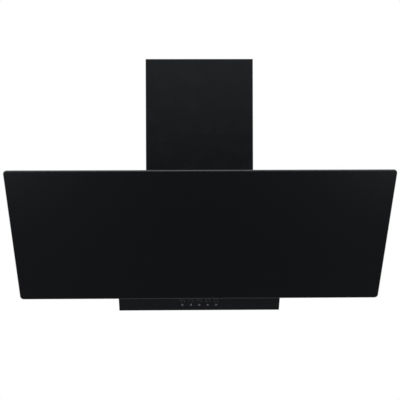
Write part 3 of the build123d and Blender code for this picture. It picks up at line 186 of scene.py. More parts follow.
clear = shader_step(tree, "BsdfTransparent")
under = shader_step(tree, "NewGeometry").outputs["Backfacing"]
mixed = shader_step(tree, "MixShader", {0: under, 1: mixed.outputs[0], 2: clear.outputs[0]})
shader_step(tree, "OutputMaterial", {"Surface": mixed.outputs[0]})
floor.data.materials.append(floor_paint)


# --------------------------------------------------------------------------------- housing panels
# Seven pressed steel panels make the box that hangs on the wall. They are folded from 1 mm sheet,
# powder coated satin black inside and out, and held together by cross-head screws.
def surface(name, **constants):
    """A material with one Principled shader; returns it with its node tree and shader."""
    material = bpy.data.materials.new(name)
    material.use_nodes = True
    tree = material.node_tree
    shader = tree.nodes["Principled BSDF"]
    for socket, value in constants.items():
        shader.inputs[socket.replace("_", " ")].default_value = value
    return material, tree, shader


def effect(name, inputs, outputs):
    """A shader group with number inputs; returns its tree and the two ends of it."""
    group = bpy.data.node_groups.new(name, "ShaderNodeTree")
    for label, value in inputs.items():
        socket = group.interface.new_socket(label, in_out="INPUT", socket_type="NodeSocketFloat")
        socket.default_value = value
    for label in outputs:
        group.interface.new_socket(label, in_out="OUTPUT", socket_type="NodeSocketFloat")
    start = group.nodes.new("NodeGroupInput")
    end = group.nodes.new("NodeGroupOutput")
    return group, start.outputs, end


def object_place(tree):
    """The place on the piece, in metres."""
    return shader_step(tree, "TexCoord").outputs["Object"]


def noise(tree, scale, detail=2.0, roughness=0.5, place=None, **more):
    """Noise over the piece; `scale` is in ripples per metre."""
    wires = {"Vector": place or object_place(tree), "Scale": scale, "Detail": detail}
    return shader_step(tree, "TexNoise", {**wires, "Roughness": roughness, **more}).outputs["Fac"]


def use(tree, group, **values):
    """Places an effect in a material with its own values; returns its outputs."""
    step = shader_step(tree, "Group", node_tree=group)
    for label, value in values.items():
        step.inputs[label].default_value = value
    return step.outputs


def bumped(tree, shader, height, distance, strength=1.0):
    """Raises the surface by `height` times `distance` metres."""
    bump = shader_step(tree, "Bump", {"Height": height, "Distance": distance, "Strength": strength})
    tree.links.new(bump.outputs["Normal"], shader.inputs["Normal"])


def tinted(tree, mask, low, high):
    """A colour that goes from `low` to `high` with the mask."""
    step = shader_step(tree, "Mix", {0: mask, 6: (*low, 1), 7: (*high, 1)}, data_type="RGBA")
    return step.outputs[2]


def varied(tree, shader, mask, colours, gloss, span=(0.3, 0.7)):
    """Lets the colour and the roughness of a finish go from the first to the second with a mask."""
    tree.links.new(tinted(tree, mask, *colours), shader.inputs["Base Color"])
    tree.links.new(ranged(tree, mask, *span, *gloss), shader.inputs["Roughness"])


def around(value, reach):
    """A range that reaches as far to both sides of a value."""
    return value - reach, value + reach


# Orange peel of a sprayed and baked powder coat, with fine grit and a few lighter specks.
peel, start, end = effect(
    "powder_coat_peel", {"Ripple": 520.0, "Grit": 4200.0}, ["Height", "Gloss", "Speck"]
)
ripple = noise(peel, start["Ripple"], detail=1.0)
grit = noise(peel, start["Grit"], detail=0.0)
peel_height = combined(peel, ripple, ranged(peel, grit, 0.3, 0.7, 0.8, 1.2))
peel.links.new(peel_height, end.inputs["Height"])
peel.links.new(noise(peel, 26.0, detail=3.0, roughness=0.6), end.inputs["Gloss"])
peel.links.new(ranged(peel, grit, 0.7, 0.78, 0.0, 1.0), end.inputs["Speck"])

# Wiping marks: broad faint streaks and a thin film of dust that lies on the upper faces.
wiped, start, end = effect("wiping_marks", {"Streaks": 9.0}, ["Streak", "Dust"])
slanted = {"Vector": object_place(wiped), "Rotation": (0.3, 0.2, 0.35), "Scale": (1.0, 4.0, 5.0)}
stretched = shader_step(wiped, "Mapping", slanted)
streak = noise(
    wiped, start["Streaks"], detail=4.0, roughness=0.65, place=stretched.outputs[0], Distortion=0.6
)
wiped.links.new(ranged(wiped, streak, 0.42, 0.72, 0.0, 1.0), end.inputs["Streak"])
facing = shader_step(wiped, "SeparateXYZ", {0: shader_step(wiped, "TexCoord").outputs["Normal"]})
upward = ranged(wiped, facing.outputs["Z"], 0.5, 1.0, 0.0, 1.0)
settled = ranged(wiped, noise(wiped, 60.0, detail=5.0, roughness=0.7), 0.35, 0.75, 0.3, 1.0)
wiped.links.new(combined(wiped, upward, settled), end.inputs["Dust"])


COOL_SHEEN = (0.86, 0.92, 1.0, 1.0)
DUST_TONE = (0.16, 0.155, 0.15, 1)
DUST_COVER = 0.16
DUST_MATT = 0.2
STREAK_MATT = 0.03
PEEL_HEIGHT = 0.00003


def powder_coat(name, colour, gloss, speck):
    """Powder-coated steel: satin, with orange peel, faint wiping marks and settled dust."""
    material, tree, shader = surface(name, Specular_IOR_Level=0.36, Specular_Tint=COOL_SHEEN)
    coat = use(tree, peel)
    marks = use(tree, wiped, Streaks=7.0)
    body = tinted(tree, coat["Speck"], colour, speck)
    cover = combined(tree, marks["Dust"], DUST_COVER)
    dusty = shader_step(tree, "Mix", {0: cover, 6: body, 7: DUST_TONE}, data_type="RGBA")
    tree.links.new(dusty.outputs[2], shader.inputs["Base Color"])
    worn = ranged(tree, coat["Gloss"], 0.3, 0.7, *around(gloss, 0.04))
    worn = combined(tree, worn, combined(tree, marks["Streak"], STREAK_MATT), "ADD")
    worn = combined(tree, worn, combined(tree, marks["Dust"], DUST_MATT), "ADD")
    tree.links.new(worn, shader.inputs["Roughness"])
    bumped(tree, shader, coat["Height"], PEEL_HEIGHT)
    return material


satin_black = powder_coat(
    "satin_black_powder_coat",
    colour=(0.0052, 0.0054, 0.0064),
    gloss=0.24,
    speck=(0.016, 0.016, 0.017),
)

nodes = frame["nodes"]
slot_of = {part["node"]: part["material_slot"] for part in frame["record"]["subparts"]}


def dressed(node, material):
    """Gives a CAD piece whose shape is right its finish."""
    mesh = nodes[node].data
    for index in range(len(mesh.materials)):
        mesh.materials[index] = material


def finished(piece, body, slot, *stands_for):
    """Puts a finished piece on its body, with its place in its mesh."""
    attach(piece, body)
    if stands_for:
        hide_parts(*stands_for)
    return piece


def only(piece):
    """Selects one object and makes it active."""
    bpy.ops.object.select_all(action="DESELECT")
    piece.select_set(True)
    bpy.context.view_layer.objects.active = piece


def smooth(piece, angle=32.0):
    """Shades a piece smooth, apart from the edges that turn by more than the angle in degrees."""
    only(piece)
    bpy.ops.object.shade_smooth_by_angle(angle=math.radians(angle))


SHARP_ANGLE = 50.0
WELD = 0.000002


def weigh_rim(piece, reach=0.0015):
    """Gives bevel weight to the sharp edges along the rim of a piece's box, not to its holes."""
    smooth(piece, SHARP_ANGLE)
    corners = [vertex.co for vertex in piece.data.vertices]
    low, high = ([pick(co[axis] for co in corners) for axis in range(3)] for pick in (min, max))
    weights = piece.data.attributes.new("bevel_weight_edge", "FLOAT", "EDGE")
    for edge in piece.data.edges:
        middle = (corners[edge.vertices[0]] + corners[edge.vertices[1]]) / 2
        gaps = [min(middle[axis] - low[axis], high[axis] - middle[axis]) for axis in range(3)]
        sides = sum(gap < reach for gap in gaps)
        weights.data[edge.index].value = float(edge.use_edge_sharp and sides > 1)


def softened(node, width, material, pierced=False, rim_only=False):
    """A folded or cast piece with its edges broken by a small round, in place of its CAD node. A
    pierced piece keeps its flat faces in quads, because one face round many holes shades badly, and
    one with fine holes is rounded along its rim only."""
    source = nodes[node]
    piece = bpy.data.objects.new(node + "_finished", source.data.copy())
    bpy.context.scene.collection.objects.link(piece)
    only(piece)
    bpy.ops.object.mode_set(mode="EDIT")
    bpy.ops.mesh.select_all(action="SELECT")
    bpy.ops.mesh.remove_doubles(threshold=WELD)
    if pierced:
        bpy.ops.mesh.tris_convert_to_quads(
            face_threshold=math.radians(0.5), shape_threshold=math.radians(60)
        )
    else:
        bpy.ops.mesh.dissolve_limited(angle_limit=math.radians(0.3))
    bpy.ops.object.mode_set(mode="OBJECT")
    if rim_only:
        weigh_rim(piece)
    edge = piece.modifiers.new("broken_edge", "BEVEL")
    edge.width = width
    edge.segments = 2
    edge.limit_method = "WEIGHT" if rim_only else "ANGLE"
    edge.angle_limit = math.radians(SHARP_ANGLE)
    edge.miter_outer = "MITER_ARC"
    bpy.ops.object.modifier_apply(modifier=edge.name)
    smooth(piece)
    flat_faces = piece.modifiers.new("flat_faces", "WEIGHTED_NORMAL")
    flat_faces.keep_sharp = True
    bpy.ops.object.modifier_apply(modifier=flat_faces.name)
    piece.data.materials.clear()
    piece.data.materials.append(material)
    return finished(piece, source["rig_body"], slot_of[node], node)


FOLD_ROUND = 0.00028
for panel in ("front_panel", "control_strip", "left_side_panel", "right_side_panel"):
    softened(panel, FOLD_ROUND, satin_black)
for panel in ("top_plate", "bottom_panel", "back_panel"):
    softened(panel, FOLD_ROUND, satin_black)


# ---------------------------------------------------------------------------------- housing screws
# Cross-head sheet-metal screws of zinc-plated steel. The plating is bright but cloudy, and a little
# yellow where it was passivated.
plating, start, end = effect("zinc_clouds", {"Clouds": 180.0}, ["Cloud", "Height"])
plating.links.new(noise(plating, start["Clouds"], detail=5.0, roughness=0.6), end.inputs["Cloud"])
plating.links.new(noise(plating, 5200.0, detail=1.0), end.inputs["Height"])


def zinc_plate(name, low, high, gloss):
    """Zinc plating with clouds of two tones, duller in some and brighter in others."""
    material, tree, shader = surface(name, Metallic=1.0)
    clouds = use(tree, plating)
    varied(tree, shader, clouds["Cloud"], (low, high), around(gloss, 0.07))
    bumped(tree, shader, clouds["Height"], 0.00001)
    return material


bright_zinc = zinc_plate("bright_zinc_plate", (0.46, 0.45, 0.42), (0.66, 0.66, 0.64), 0.33)
dressed("housing_screws", bright_zinc)


# -------------------------------------------------------------------------------------- glass pane
# One pane of 5 mm tempered glass, painted black on its back, with a ground and polished round edge
# that is faintly green and catches the light. It is taped to the carrier behind it.
TILT = math.radians(35)
FOOT_OF_FRONT = Vector((0, -0.108, -0.225))
UP_THE_SLOPE = Vector((0, -math.sin(TILT), math.cos(TILT)))
OUT_OF_FRONT = Vector((0, -math.cos(TILT), -math.sin(TILT)))
ACROSS = Vector((1, 0, 0))
turned_to_front = Matrix((ACROSS, UP_THE_SLOPE, OUT_OF_FRONT)).transposed().to_4x4()
on_front = Matrix.Translation(FOOT_OF_FRONT) @ turned_to_front


def settle(piece, place):
    """Moves a piece that was made at the origin to its place, and puts that place in its mesh."""
    piece.matrix_world = place
    only(piece)
    bpy.ops.object.transform_apply(location=True, rotation=True, scale=True)


PANE = Vector((0.900, 0.387, 0.005))
PANE_FOOT = 0.064
PANE_STANDOFF = 0.023
PANE_CORNER = 0.009
PANE_EDGE_ROUND = 0.0021
bpy.ops.object.select_all(action="DESELECT")
bpy.ops.mesh.primitive_cube_add(size=1.0)
pane = bpy.context.object
pane.name = "glass_pane"
pane.scale = PANE
bpy.ops.object.transform_apply(scale=True)
bpy.ops.object.mode_set(mode="EDIT")
bpy.ops.mesh.select_mode(type="EDGE")
bpy.ops.mesh.select_all(action="DESELECT")
bpy.ops.object.mode_set(mode="OBJECT")
for edge in pane.data.edges:
    ends = [pane.data.vertices[i].co for i in edge.vertices]
    edge.select = abs(ends[0].z - ends[1].z) > PANE.z / 2
bpy.ops.object.mode_set(mode="EDIT")
bpy.ops.mesh.bevel(offset=PANE_CORNER, segments=10, affect="EDGES")
bpy.ops.mesh.select_all(action="DESELECT")
bpy.ops.object.mode_set(mode="OBJECT")
for edge in pane.data.edges:
    ends = [pane.data.vertices[i].co for i in edge.vertices]
    edge.select = abs(ends[0].z - ends[1].z) < PANE.z / 2
bpy.ops.object.mode_set(mode="EDIT")
bpy.ops.mesh.bevel(offset=PANE_EDGE_ROUND, segments=6, affect="EDGES")
bpy.ops.mesh.select_mode(type="VERT")
bpy.ops.object.mode_set(mode="OBJECT")
pane_middle = (0, PANE_FOOT + PANE.y / 2, PANE_STANDOFF + PANE.z / 2)
settle(pane, on_front @ Matrix.Translation(pane_middle))
smooth(pane, 40.0)

black_glass, tree, shader = surface(
    "black_painted_glass", Specular_IOR_Level=0.3, IOR=1.5, Specular_Tint=COOL_SHEEN
)
marks = use(tree, wiped, Streaks=3.2)
depth = noise(tree, 2.2, detail=2.0)
depth = tinted(tree, depth, (0.0016, 0.0017, 0.0023), (0.0024, 0.0025, 0.0033))
tree.links.new(depth, shader.inputs["Base Color"])
tree.links.new(ranged(tree, marks["Streak"], 0.0, 1.0, 0.07, 0.11), shader.inputs["Roughness"])
bumped(tree, shader, noise(tree, 7.0, detail=0.0), 0.00004)

ground_glass, tree, shader = surface("ground_glass_edge", Specular_IOR_Level=0.6, IOR=1.5)
rubbed = noise(tree, 900.0, detail=3.0, roughness=0.6)
varied(tree, shader, rubbed, ((0.017, 0.021, 0.022), (0.026, 0.031, 0.033)), (0.16, 0.26))
bumped(tree, shader, noise(tree, 2600.0, detail=1.0), 0.000006)

back_paint, tree, shader = surface("baked_back_paint", Specular_IOR_Level=0.25)
rolled_on = noise(tree, 160.0, detail=4.0, roughness=0.6)
varied(tree, shader, rolled_on, ((0.0045, 0.0045, 0.0048), (0.0075, 0.0075, 0.0080)), (0.42, 0.56))
bumped(tree, shader, noise(tree, 1400.0, detail=2.0), 0.00001)

for finish in (black_glass, ground_glass, back_paint):
    pane.data.materials.append(finish)
FLAT = 0.999
for face in pane.data.polygons:
    outward = face.normal.dot(OUT_OF_FRONT)
    face.material_index = 1 if abs(outward) < FLAT else 0 if outward > 0 else 2
finished(pane, "glass_flap", "black_glass", "glass_panel")


# ------------------------------------------------------------------------------ carrier and hinges
# A folded steel carrier is taped to the back of the glass with black foam tape. Two friction hinges
# of zinc-plated steel hold it at the top, and two magnets at its foot keep the flap shut.
softened("glass_carrier", FOLD_ROUND, satin_black)

grain, start, end = effect("moulded_grain", {"Grain": 1500.0}, ["Height", "Tone"])
cells = {"Vector": object_place(grain), "Scale": start["Grain"], "Randomness": 1.0}
pits = shader_step(grain, "TexVoronoi", cells).outputs["Distance"]
grain.links.new(ranged(grain, pits, 0.0, 0.6, 0.0, 1.0), end.inputs["Height"])
grain.links.new(noise(grain, 38.0, detail=4.0, roughness=0.6), end.inputs["Tone"])


def moulded(name, low, high, gloss, pit=0.00002, grain_scale=1500.0, **constants):
    """Injection-moulded plastic or rubber with a fine spark-eroded grain."""
    material, tree, shader = surface(name, **constants)
    skin = use(tree, grain, Grain=grain_scale)
    varied(tree, shader, skin["Tone"], (low, high), around(gloss, 0.05))
    bumped(tree, shader, skin["Height"], pit)
    return material


foam_tape = moulded(
    "black_foam_tape",
    (0.010, 0.010, 0.011),
    (0.018, 0.018, 0.019),
    gloss=0.85,
    pit=0.00006,
    grain_scale=900.0,
)
dressed("glass_bond_strips", foam_tape)
HINGE_ROUND = 0.0004
CATCH_ROUND = 0.0003
MAGNET_ROUND = 0.0005
for leaf in ("hinge_base_left", "hinge_base_right", "hinge_leaf_left", "hinge_leaf_right"):
    softened(leaf, HINGE_ROUND, bright_zinc)
softened("catch_plates", CATCH_ROUND, bright_zinc)
dressed("hinge_pins", bright_zinc)
dressed("hinge_leaf_screws", bright_zinc)
ferrite = moulded(
    "ferrite_magnet",
    (0.030, 0.030, 0.032),
    (0.052, 0.051, 0.052),
    gloss=0.55,
    pit=0.00003,
    grain_scale=2600.0,
)
softened("magnet_catches", MAGNET_ROUND, ferrite)


# ----------------------------------------------------------------------------------- grease filter
# A cassette of anodised aluminium: a folded rim round a coarse expanded sheet, layers of fine
# expanded mesh and a rear sheet. It lifts out of its recess once the latch is drawn.
anodised, tree, shader = surface("anodised_aluminium", Metallic=1.0)
lengthwise = shader_step(tree, "Mapping", {"Vector": object_place(tree), "Scale": (1.0, 24.0, 24.0)})
rolled = noise(tree, 120.0, detail=4.0, roughness=0.65, place=lengthwise.outputs[0])
varied(tree, shader, rolled, ((0.55, 0.555, 0.56), (0.74, 0.745, 0.75)), (0.26, 0.40))
bumped(tree, shader, rolled, 0.000008)
FILTER_ROUND = 0.0003
softened("filter_frame", FILTER_ROUND, anodised, pierced=True)

FILTER_FOOT = 0.088
FILTER_SIZE = (0.320, 0.270)
FILTER_SKIN = 0.0009
LATCH_CUT = (0.0205, 0.0345)


def expanded_sheet(name, node, cell, strand, thickness, out, twist, shift=0.0):
    """A sheet of expanded metal: a diamond of four slit and stretched strands, repeated over the
    sheet and cut to its rim and round the latch."""
    bpy.ops.object.select_all(action="DESELECT")
    bpy.ops.mesh.primitive_circle_add(vertices=4, radius=0.5, fill_type="NGON")
    sheet = bpy.context.object
    sheet.name = name
    bpy.ops.object.mode_set(mode="EDIT")
    bpy.ops.mesh.select_all(action="SELECT")
    bpy.ops.transform.resize(value=(cell[0], cell[1], 1.0))
    bpy.ops.mesh.inset(thickness=strand, use_boundary=True)
    bpy.ops.mesh.delete(type="FACE")
    bpy.ops.object.mode_set(mode="OBJECT")
    for corner in sheet.data.vertices:
        corner.co.z = twist * (1 if abs(corner.co.x) > abs(corner.co.y) else -1)
    width, length = (size - 2 * FILTER_SKIN for size in FILTER_SIZE)
    columns, rows = math.ceil(width / cell[0]) + 1, math.ceil(length / cell[1]) + 1
    steps = ((columns, (cell[0], 0, 0)), (rows, (0, cell[1], 0)), (2, (cell[0] / 2, cell[1] / 2, 0)))
    for count, offset in steps:
        repeat = sheet.modifiers.new("repeat", "ARRAY")
        repeat.count = count
        repeat.use_relative_offset = False
        repeat.use_constant_offset = True
        repeat.constant_offset_displace = offset
        repeat.use_merge_vertices = False
        only(sheet)
        bpy.ops.object.modifier_apply(modifier=repeat.name)
    sheet.data.transform(Matrix.Translation((-width / 2 - shift, FILTER_SKIN - shift, 0)))
    only(sheet)
    bpy.ops.object.mode_set(mode="EDIT")
    bpy.ops.mesh.select_all(action="SELECT")
    bpy.ops.mesh.remove_doubles(threshold=strand / 50)
    for point, outward in (
        ((width / 2, 0, 0), (1, 0, 0)),
        ((-width / 2, 0, 0), (-1, 0, 0)),
        ((0, FILTER_SKIN, 0), (0, -1, 0)),
        ((0, FILTER_SKIN + length, 0), (0, 1, 0)),
    ):
        bpy.ops.mesh.select_all(action="SELECT")
        bpy.ops.mesh.bisect(plane_co=point, plane_no=outward, clear_outer=True)
    bpy.ops.mesh.select_mode(type="FACE")
    bpy.ops.mesh.select_all(action="DESELECT")
    bpy.ops.object.mode_set(mode="OBJECT")
    for face in sheet.data.polygons:
        face.select = abs(face.center.x) < LATCH_CUT[0] and face.center.y < LATCH_CUT[1]
    bpy.ops.object.mode_set(mode="EDIT")
    bpy.ops.mesh.delete(type="FACE")
    bpy.ops.mesh.select_mode(type="VERT")
    bpy.ops.object.mode_set(mode="OBJECT")
    wall = sheet.modifiers.new("thickness", "SOLIDIFY")
    wall.thickness = thickness
    wall.offset = 0.0
    bpy.ops.object.modifier_apply(modifier=wall.name)
    settle(sheet, on_front @ Matrix.Translation((0, FILTER_FOOT, out)))
    sheet.data.materials.append(anodised)
    return finished(sheet, "housing", "aluminium_filter", *([node] if node else []))


coarse = {"cell": (0.0150, 0.0078), "strand": 0.0007, "thickness": 0.0006, "twist": 0.0001}
fine = {"cell": (0.0072, 0.0040), "strand": 0.0003, "thickness": 0.0003, "twist": 0.0004}
expanded_sheet("filter_front_expanded_sheet", "filter_front_grille", out=-0.00135, **coarse)
expanded_sheet("filter_rear_expanded_sheet", "filter_rear_grille", out=-0.00765, **coarse)
expanded_sheet("filter_fine_mesh_front", "filter_mesh_pack", out=-0.0031, **fine)
expanded_sheet("filter_fine_mesh_rear", None, out=-0.0055, shift=0.0021, **fine)

black_plastic = moulded(
    "black_moulded_plastic", (0.0060, 0.0060, 0.0064), (0.0095, 0.0095, 0.0100), gloss=0.50
)
MOULDED_ROUND = 0.0005
softened("filter_latch", MOULDED_ROUND, black_plastic, pierced=True)
spring_wire, tree, shader = surface("spring_wire", Metallic=1.0)
drawn = noise(tree, 1800.0, detail=3.0)
varied(tree, shader, drawn, ((0.42, 0.42, 0.42), (0.58, 0.58, 0.58)), (0.22, 0.34))
SPRING_WIRE = 0.0005


def coil_spring(name, node, radius, turns, length, place, first=True):
    """A coil of round wire: a small circle screwed round its axis. The first of a node's springs
    stands for the node."""
    bpy.ops.object.select_all(action="DESELECT")
    bpy.ops.mesh.primitive_circle_add(
        vertices=10,
        radius=SPRING_WIRE / 2,
        location=(radius, 0, SPRING_WIRE / 2),
        rotation=(math.pi / 2, 0, 0),
    )
    coil = bpy.context.object
    coil.name = name
    bpy.ops.object.transform_apply(location=True, rotation=True)
    winding = coil.modifiers.new("winding", "SCREW")
    winding.steps = winding.render_steps = 28
    winding.iterations = turns
    winding.screw_offset = (length - SPRING_WIRE) / turns
    bpy.ops.object.modifier_apply(modifier=winding.name)
    bpy.ops.object.mode_set(mode="EDIT")
    bpy.ops.mesh.select_mode(type="VERT")
    bpy.ops.mesh.select_all(action="SELECT")
    bpy.ops.mesh.remove_doubles(threshold=WELD)
    bpy.ops.mesh.select_all(action="DESELECT")
    bpy.ops.mesh.select_non_manifold()
    bpy.ops.mesh.fill_holes(sides=0)
    bpy.ops.mesh.select_all(action="SELECT")
    bpy.ops.mesh.normals_make_consistent(inside=False)
    bpy.ops.object.mode_set(mode="OBJECT")
    settle(coil, place)
    smooth(coil, SHARP_ANGLE)
    coil.data.materials.append(spring_wire)
    finished(coil, "housing", slot_of[node], *([node] if first else []))
    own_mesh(coil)


LATCH_FOOT = 0.0018
LATCH_LENGTH = 0.0130
LATCH_SPRING = 0.0147
LATCH_SPRING_RADIUS = 0.0016
LATCH_SPRING_DEPTH = -0.0045
spring_seat = (0, FILTER_FOOT + LATCH_FOOT + LATCH_LENGTH, LATCH_SPRING_DEPTH)
coil_spring(
    "filter_latch_coil",
    "filter_latch_spring",
    radius=LATCH_SPRING_RADIUS,
    turns=6,
    length=LATCH_SPRING,
    place=on_front @ Matrix.Translation(spring_seat) @ Matrix.Rotation(-math.pi / 2, 4, "X"),
)

# Four grip ribs across the latch's knob.
FIRST_RIB = FILTER_FOOT + LATCH_FOOT + 0.0026
RIB_PITCH = 0.0018
RIB_RADIUS = 0.00045
RIB_LENGTH = 0.0245
KNOB_FACE = 0.0050
for number in range(4):
    bpy.ops.object.select_all(action="DESELECT")
    bpy.ops.mesh.primitive_cylinder_add(
        vertices=20, radius=RIB_RADIUS, depth=RIB_LENGTH, rotation=(0, math.pi / 2, 0)
    )
    rib = bpy.context.object
    rib.name = f"filter_latch_rib_{number}"
    bpy.ops.object.transform_apply(rotation=True)
    settle(rib, on_front @ Matrix.Translation((0, FIRST_RIB + RIB_PITCH * number, KNOB_FACE)))
    smooth(rib)
    rib.data.materials.append(black_plastic)
    finished(rib, "filter_latch", slot_of["filter_latch"])


# --------------------------------------------------------------------------------- control buttons
# Five small round push buttons of smoke-grey chromed plastic in a row: off, three blower speeds and
# the lamps. Each has a shallow dish for the finger tip, a collar behind the strip that holds it, and
# a stem with a coil spring in the switch body.
BUTTON_UP = 0.021
BUTTON_PITCH = 0.0216
BUTTON_RADIUS = 0.0030
BUTTON_FACE = 0.0030
COLLAR_RADIUS = 0.0044
COLLAR_FACE = -0.0013
COLLAR_BACK = -0.0033
STEM_RADIUS = 0.0018
STEM_END = -0.0136


def in_line_with(number, up, out):
    """The place on the strip in line with one of the five buttons, this far up and out."""
    return on_front @ Matrix.Translation((BUTTON_PITCH * (number - 2), up, out))


def turned(name, rings, segments=48, bored=False):
    """A turned piece: a circle extruded and scaled through rings of (radius, height). Its ends are
    closed, or, with a bore, the last ring joins the first."""
    radius, height = rings[0]
    bpy.ops.object.select_all(action="DESELECT")
    bpy.ops.mesh.primitive_circle_add(
        vertices=segments, radius=radius, fill_type="NOTHING", location=(0, 0, height)
    )
    piece = bpy.context.object
    piece.name = name
    bpy.ops.object.mode_set(mode="EDIT")
    bpy.ops.mesh.select_mode(type="VERT")
    bpy.ops.mesh.select_all(action="SELECT")
    if not bored:
        bpy.ops.mesh.duplicate()
        bpy.ops.mesh.edge_face_add()
        bpy.ops.mesh.select_all(action="DESELECT")
        bpy.ops.object.mode_set(mode="OBJECT")
        for vertex in piece.data.vertices[:segments]:
            vertex.select = True
        bpy.ops.object.mode_set(mode="EDIT")
    for next_radius, next_height in rings[1:] + (rings[:1] if bored else []):
        rise = (0, 0, next_height - height)
        bpy.ops.mesh.extrude_region_move(TRANSFORM_OT_translate={"value": rise})
        bpy.ops.transform.resize(value=(next_radius / radius, next_radius / radius, 1.0))
        radius, height = next_radius, next_height
    if not bored:
        bpy.ops.mesh.edge_face_add()
    bpy.ops.mesh.select_all(action="SELECT")
    bpy.ops.mesh.remove_doubles(threshold=WELD / 4)
    bpy.ops.mesh.normals_make_consistent(inside=False)
    bpy.ops.object.mode_set(mode="OBJECT")
    only(piece)
    bpy.ops.object.transform_apply(location=True)
    return piece


FINGER_MATT = 0.08


def satin_chrome(name, low, high):
    """Satin-chromed plastic with a fine grain and the faint marks of fingers."""
    material, tree, shader = surface(name, Metallic=1.0)
    marks = use(tree, wiped, Streaks=60.0)
    fine = noise(tree, 2400.0, detail=2.0)
    tree.links.new(tinted(tree, fine, low, high), shader.inputs["Base Color"])
    worn = ranged(tree, fine, 0.3, 0.7, 0.24, 0.34)
    worn = combined(tree, worn, combined(tree, marks["Streak"], FINGER_MATT), "ADD")
    tree.links.new(worn, shader.inputs["Roughness"])
    bumped(tree, shader, fine, 0.000006)
    return material


smoked_chrome = satin_chrome("smoked_chrome_cap", (0.26, 0.265, 0.28), (0.34, 0.345, 0.36))

cap_profile = [
    (STEM_RADIUS - 0.0003, STEM_END),
    (STEM_RADIUS, STEM_END + 0.0003),
    (STEM_RADIUS, COLLAR_BACK),
    (COLLAR_RADIUS - 0.0002, COLLAR_BACK),
    (COLLAR_RADIUS, COLLAR_BACK + 0.0002),
    (COLLAR_RADIUS, COLLAR_FACE - 0.0002),
    (COLLAR_RADIUS - 0.0002, COLLAR_FACE),
    (BUTTON_RADIUS, COLLAR_FACE),
    (BUTTON_RADIUS, BUTTON_FACE - 0.0007),
    (BUTTON_RADIUS - 0.00012, BUTTON_FACE - 0.00028),
    (BUTTON_RADIUS - 0.00038, BUTTON_FACE - 0.00006),
    (BUTTON_RADIUS - 0.00068, BUTTON_FACE),
    (BUTTON_RADIUS * 0.62, BUTTON_FACE - 0.00016),
    (BUTTON_RADIUS * 0.36, BUTTON_FACE - 0.00030),
    (BUTTON_RADIUS * 0.12, BUTTON_FACE - 0.00036),
]
button_nodes = ["button_off", "button_speed_1", "button_speed_2", "button_speed_3", "button_lamp"]
for number, node in enumerate(button_nodes):
    cap = turned(node + "_cap", cap_profile)
    settle(cap, in_line_with(number, BUTTON_UP, 0))
    smooth(cap)
    cap.data.materials.append(smoked_chrome)
    finished(cap, node, "chrome_cap", node)

BUTTON_SPRING = 0.006
BUTTON_SPRING_RADIUS = 0.00235
SWITCH_ROUND = 0.0004
switch_face = COLLAR_BACK - BUTTON_SPRING
for number, node in enumerate(button_nodes):
    coil_spring(
        node + "_spring",
        "button_springs",
        radius=BUTTON_SPRING_RADIUS,
        turns=4,
        length=BUTTON_SPRING,
        place=in_line_with(number, BUTTON_UP, switch_face),
        first=number == 0,
    )
softened("switch_body", SWITCH_ROUND, black_plastic)


# ----------------------------------------------------------------------------------- printed marks
# Over each button a thin pale grey ring is printed on the strip with a film of ink. In it stands a
# small numeral over the off and speed buttons, and a plain round lamp sign over the last.
INK_UP = 0.0325
INK_HEIGHT = 0.0032
NUMERAL_SIZE = INK_HEIGHT * 1.4
RING_RADIUS = 0.0062
RING_STROKE = 0.0006
INK_FILM = 0.00004
INK_CLEAR = 0.00001
pale_ink, tree, shader = surface("pale_grey_ink")
dots = noise(tree, 3000.0, detail=2.0)
varied(tree, shader, dots, ((0.10, 0.10, 0.105), (0.16, 0.16, 0.165)), (0.5, 0.65))


def printed(name, mark, number):
    """Turns a flat mark into a film of ink over one button."""
    mark.name = name
    only(mark)
    bpy.ops.object.convert(target="MESH")
    film = mark.modifiers.new("film", "SOLIDIFY")
    film.thickness = INK_FILM
    film.offset = 1.0
    bpy.ops.object.modifier_apply(modifier=film.name)
    settle(mark, in_line_with(number, INK_UP, INK_CLEAR))
    mark.data.materials.append(pale_ink)
    finished(mark, "housing", "painted_black_steel")


for number in range(4):
    bpy.ops.object.select_all(action="DESELECT")
    bpy.ops.object.text_add()
    numeral = bpy.context.object
    numeral.data.body = str(number)
    numeral.data.size = NUMERAL_SIZE
    numeral.data.align_x = "CENTER"
    numeral.data.align_y = "CENTER"
    printed(f"printed_numeral_{number}", numeral, number)

for number in range(5):
    bpy.ops.object.select_all(action="DESELECT")
    bpy.ops.mesh.primitive_circle_add(vertices=64, radius=RING_RADIUS, fill_type="NGON")
    ring = bpy.context.object
    bpy.ops.object.mode_set(mode="EDIT")
    bpy.ops.mesh.select_all(action="SELECT")
    bpy.ops.mesh.inset(thickness=RING_STROKE)
    bpy.ops.mesh.delete(type="FACE")
    bpy.ops.object.mode_set(mode="OBJECT")
    printed(f"printed_ring_{number}", ring, number)

BULB_RADIUS = INK_HEIGHT * 0.30
BULB_STROKE = INK_HEIGHT * 0.08
RAYS = 8
RAY_OUT = INK_HEIGHT * 0.47
RAY_SIZE = (INK_HEIGHT * 0.16, INK_HEIGHT * 0.07, 1)
bpy.ops.object.select_all(action="DESELECT")
bpy.ops.mesh.primitive_circle_add(vertices=32, radius=BULB_RADIUS, fill_type="NGON")
sign = bpy.context.object
bpy.ops.object.mode_set(mode="EDIT")
bpy.ops.mesh.select_all(action="SELECT")
bpy.ops.mesh.inset(thickness=BULB_STROKE)
bpy.ops.mesh.delete(type="FACE")
for number in range(RAYS):
    angle = math.tau * number / RAYS
    direction = Vector((math.cos(angle), math.sin(angle), 0))
    bpy.ops.mesh.primitive_plane_add(size=1.0, location=direction * RAY_OUT, rotation=(0, 0, angle))
    bpy.ops.transform.resize(value=RAY_SIZE, orient_type="LOCAL")
bpy.ops.object.mode_set(mode="OBJECT")
printed("printed_lamp_sign", sign, 4)


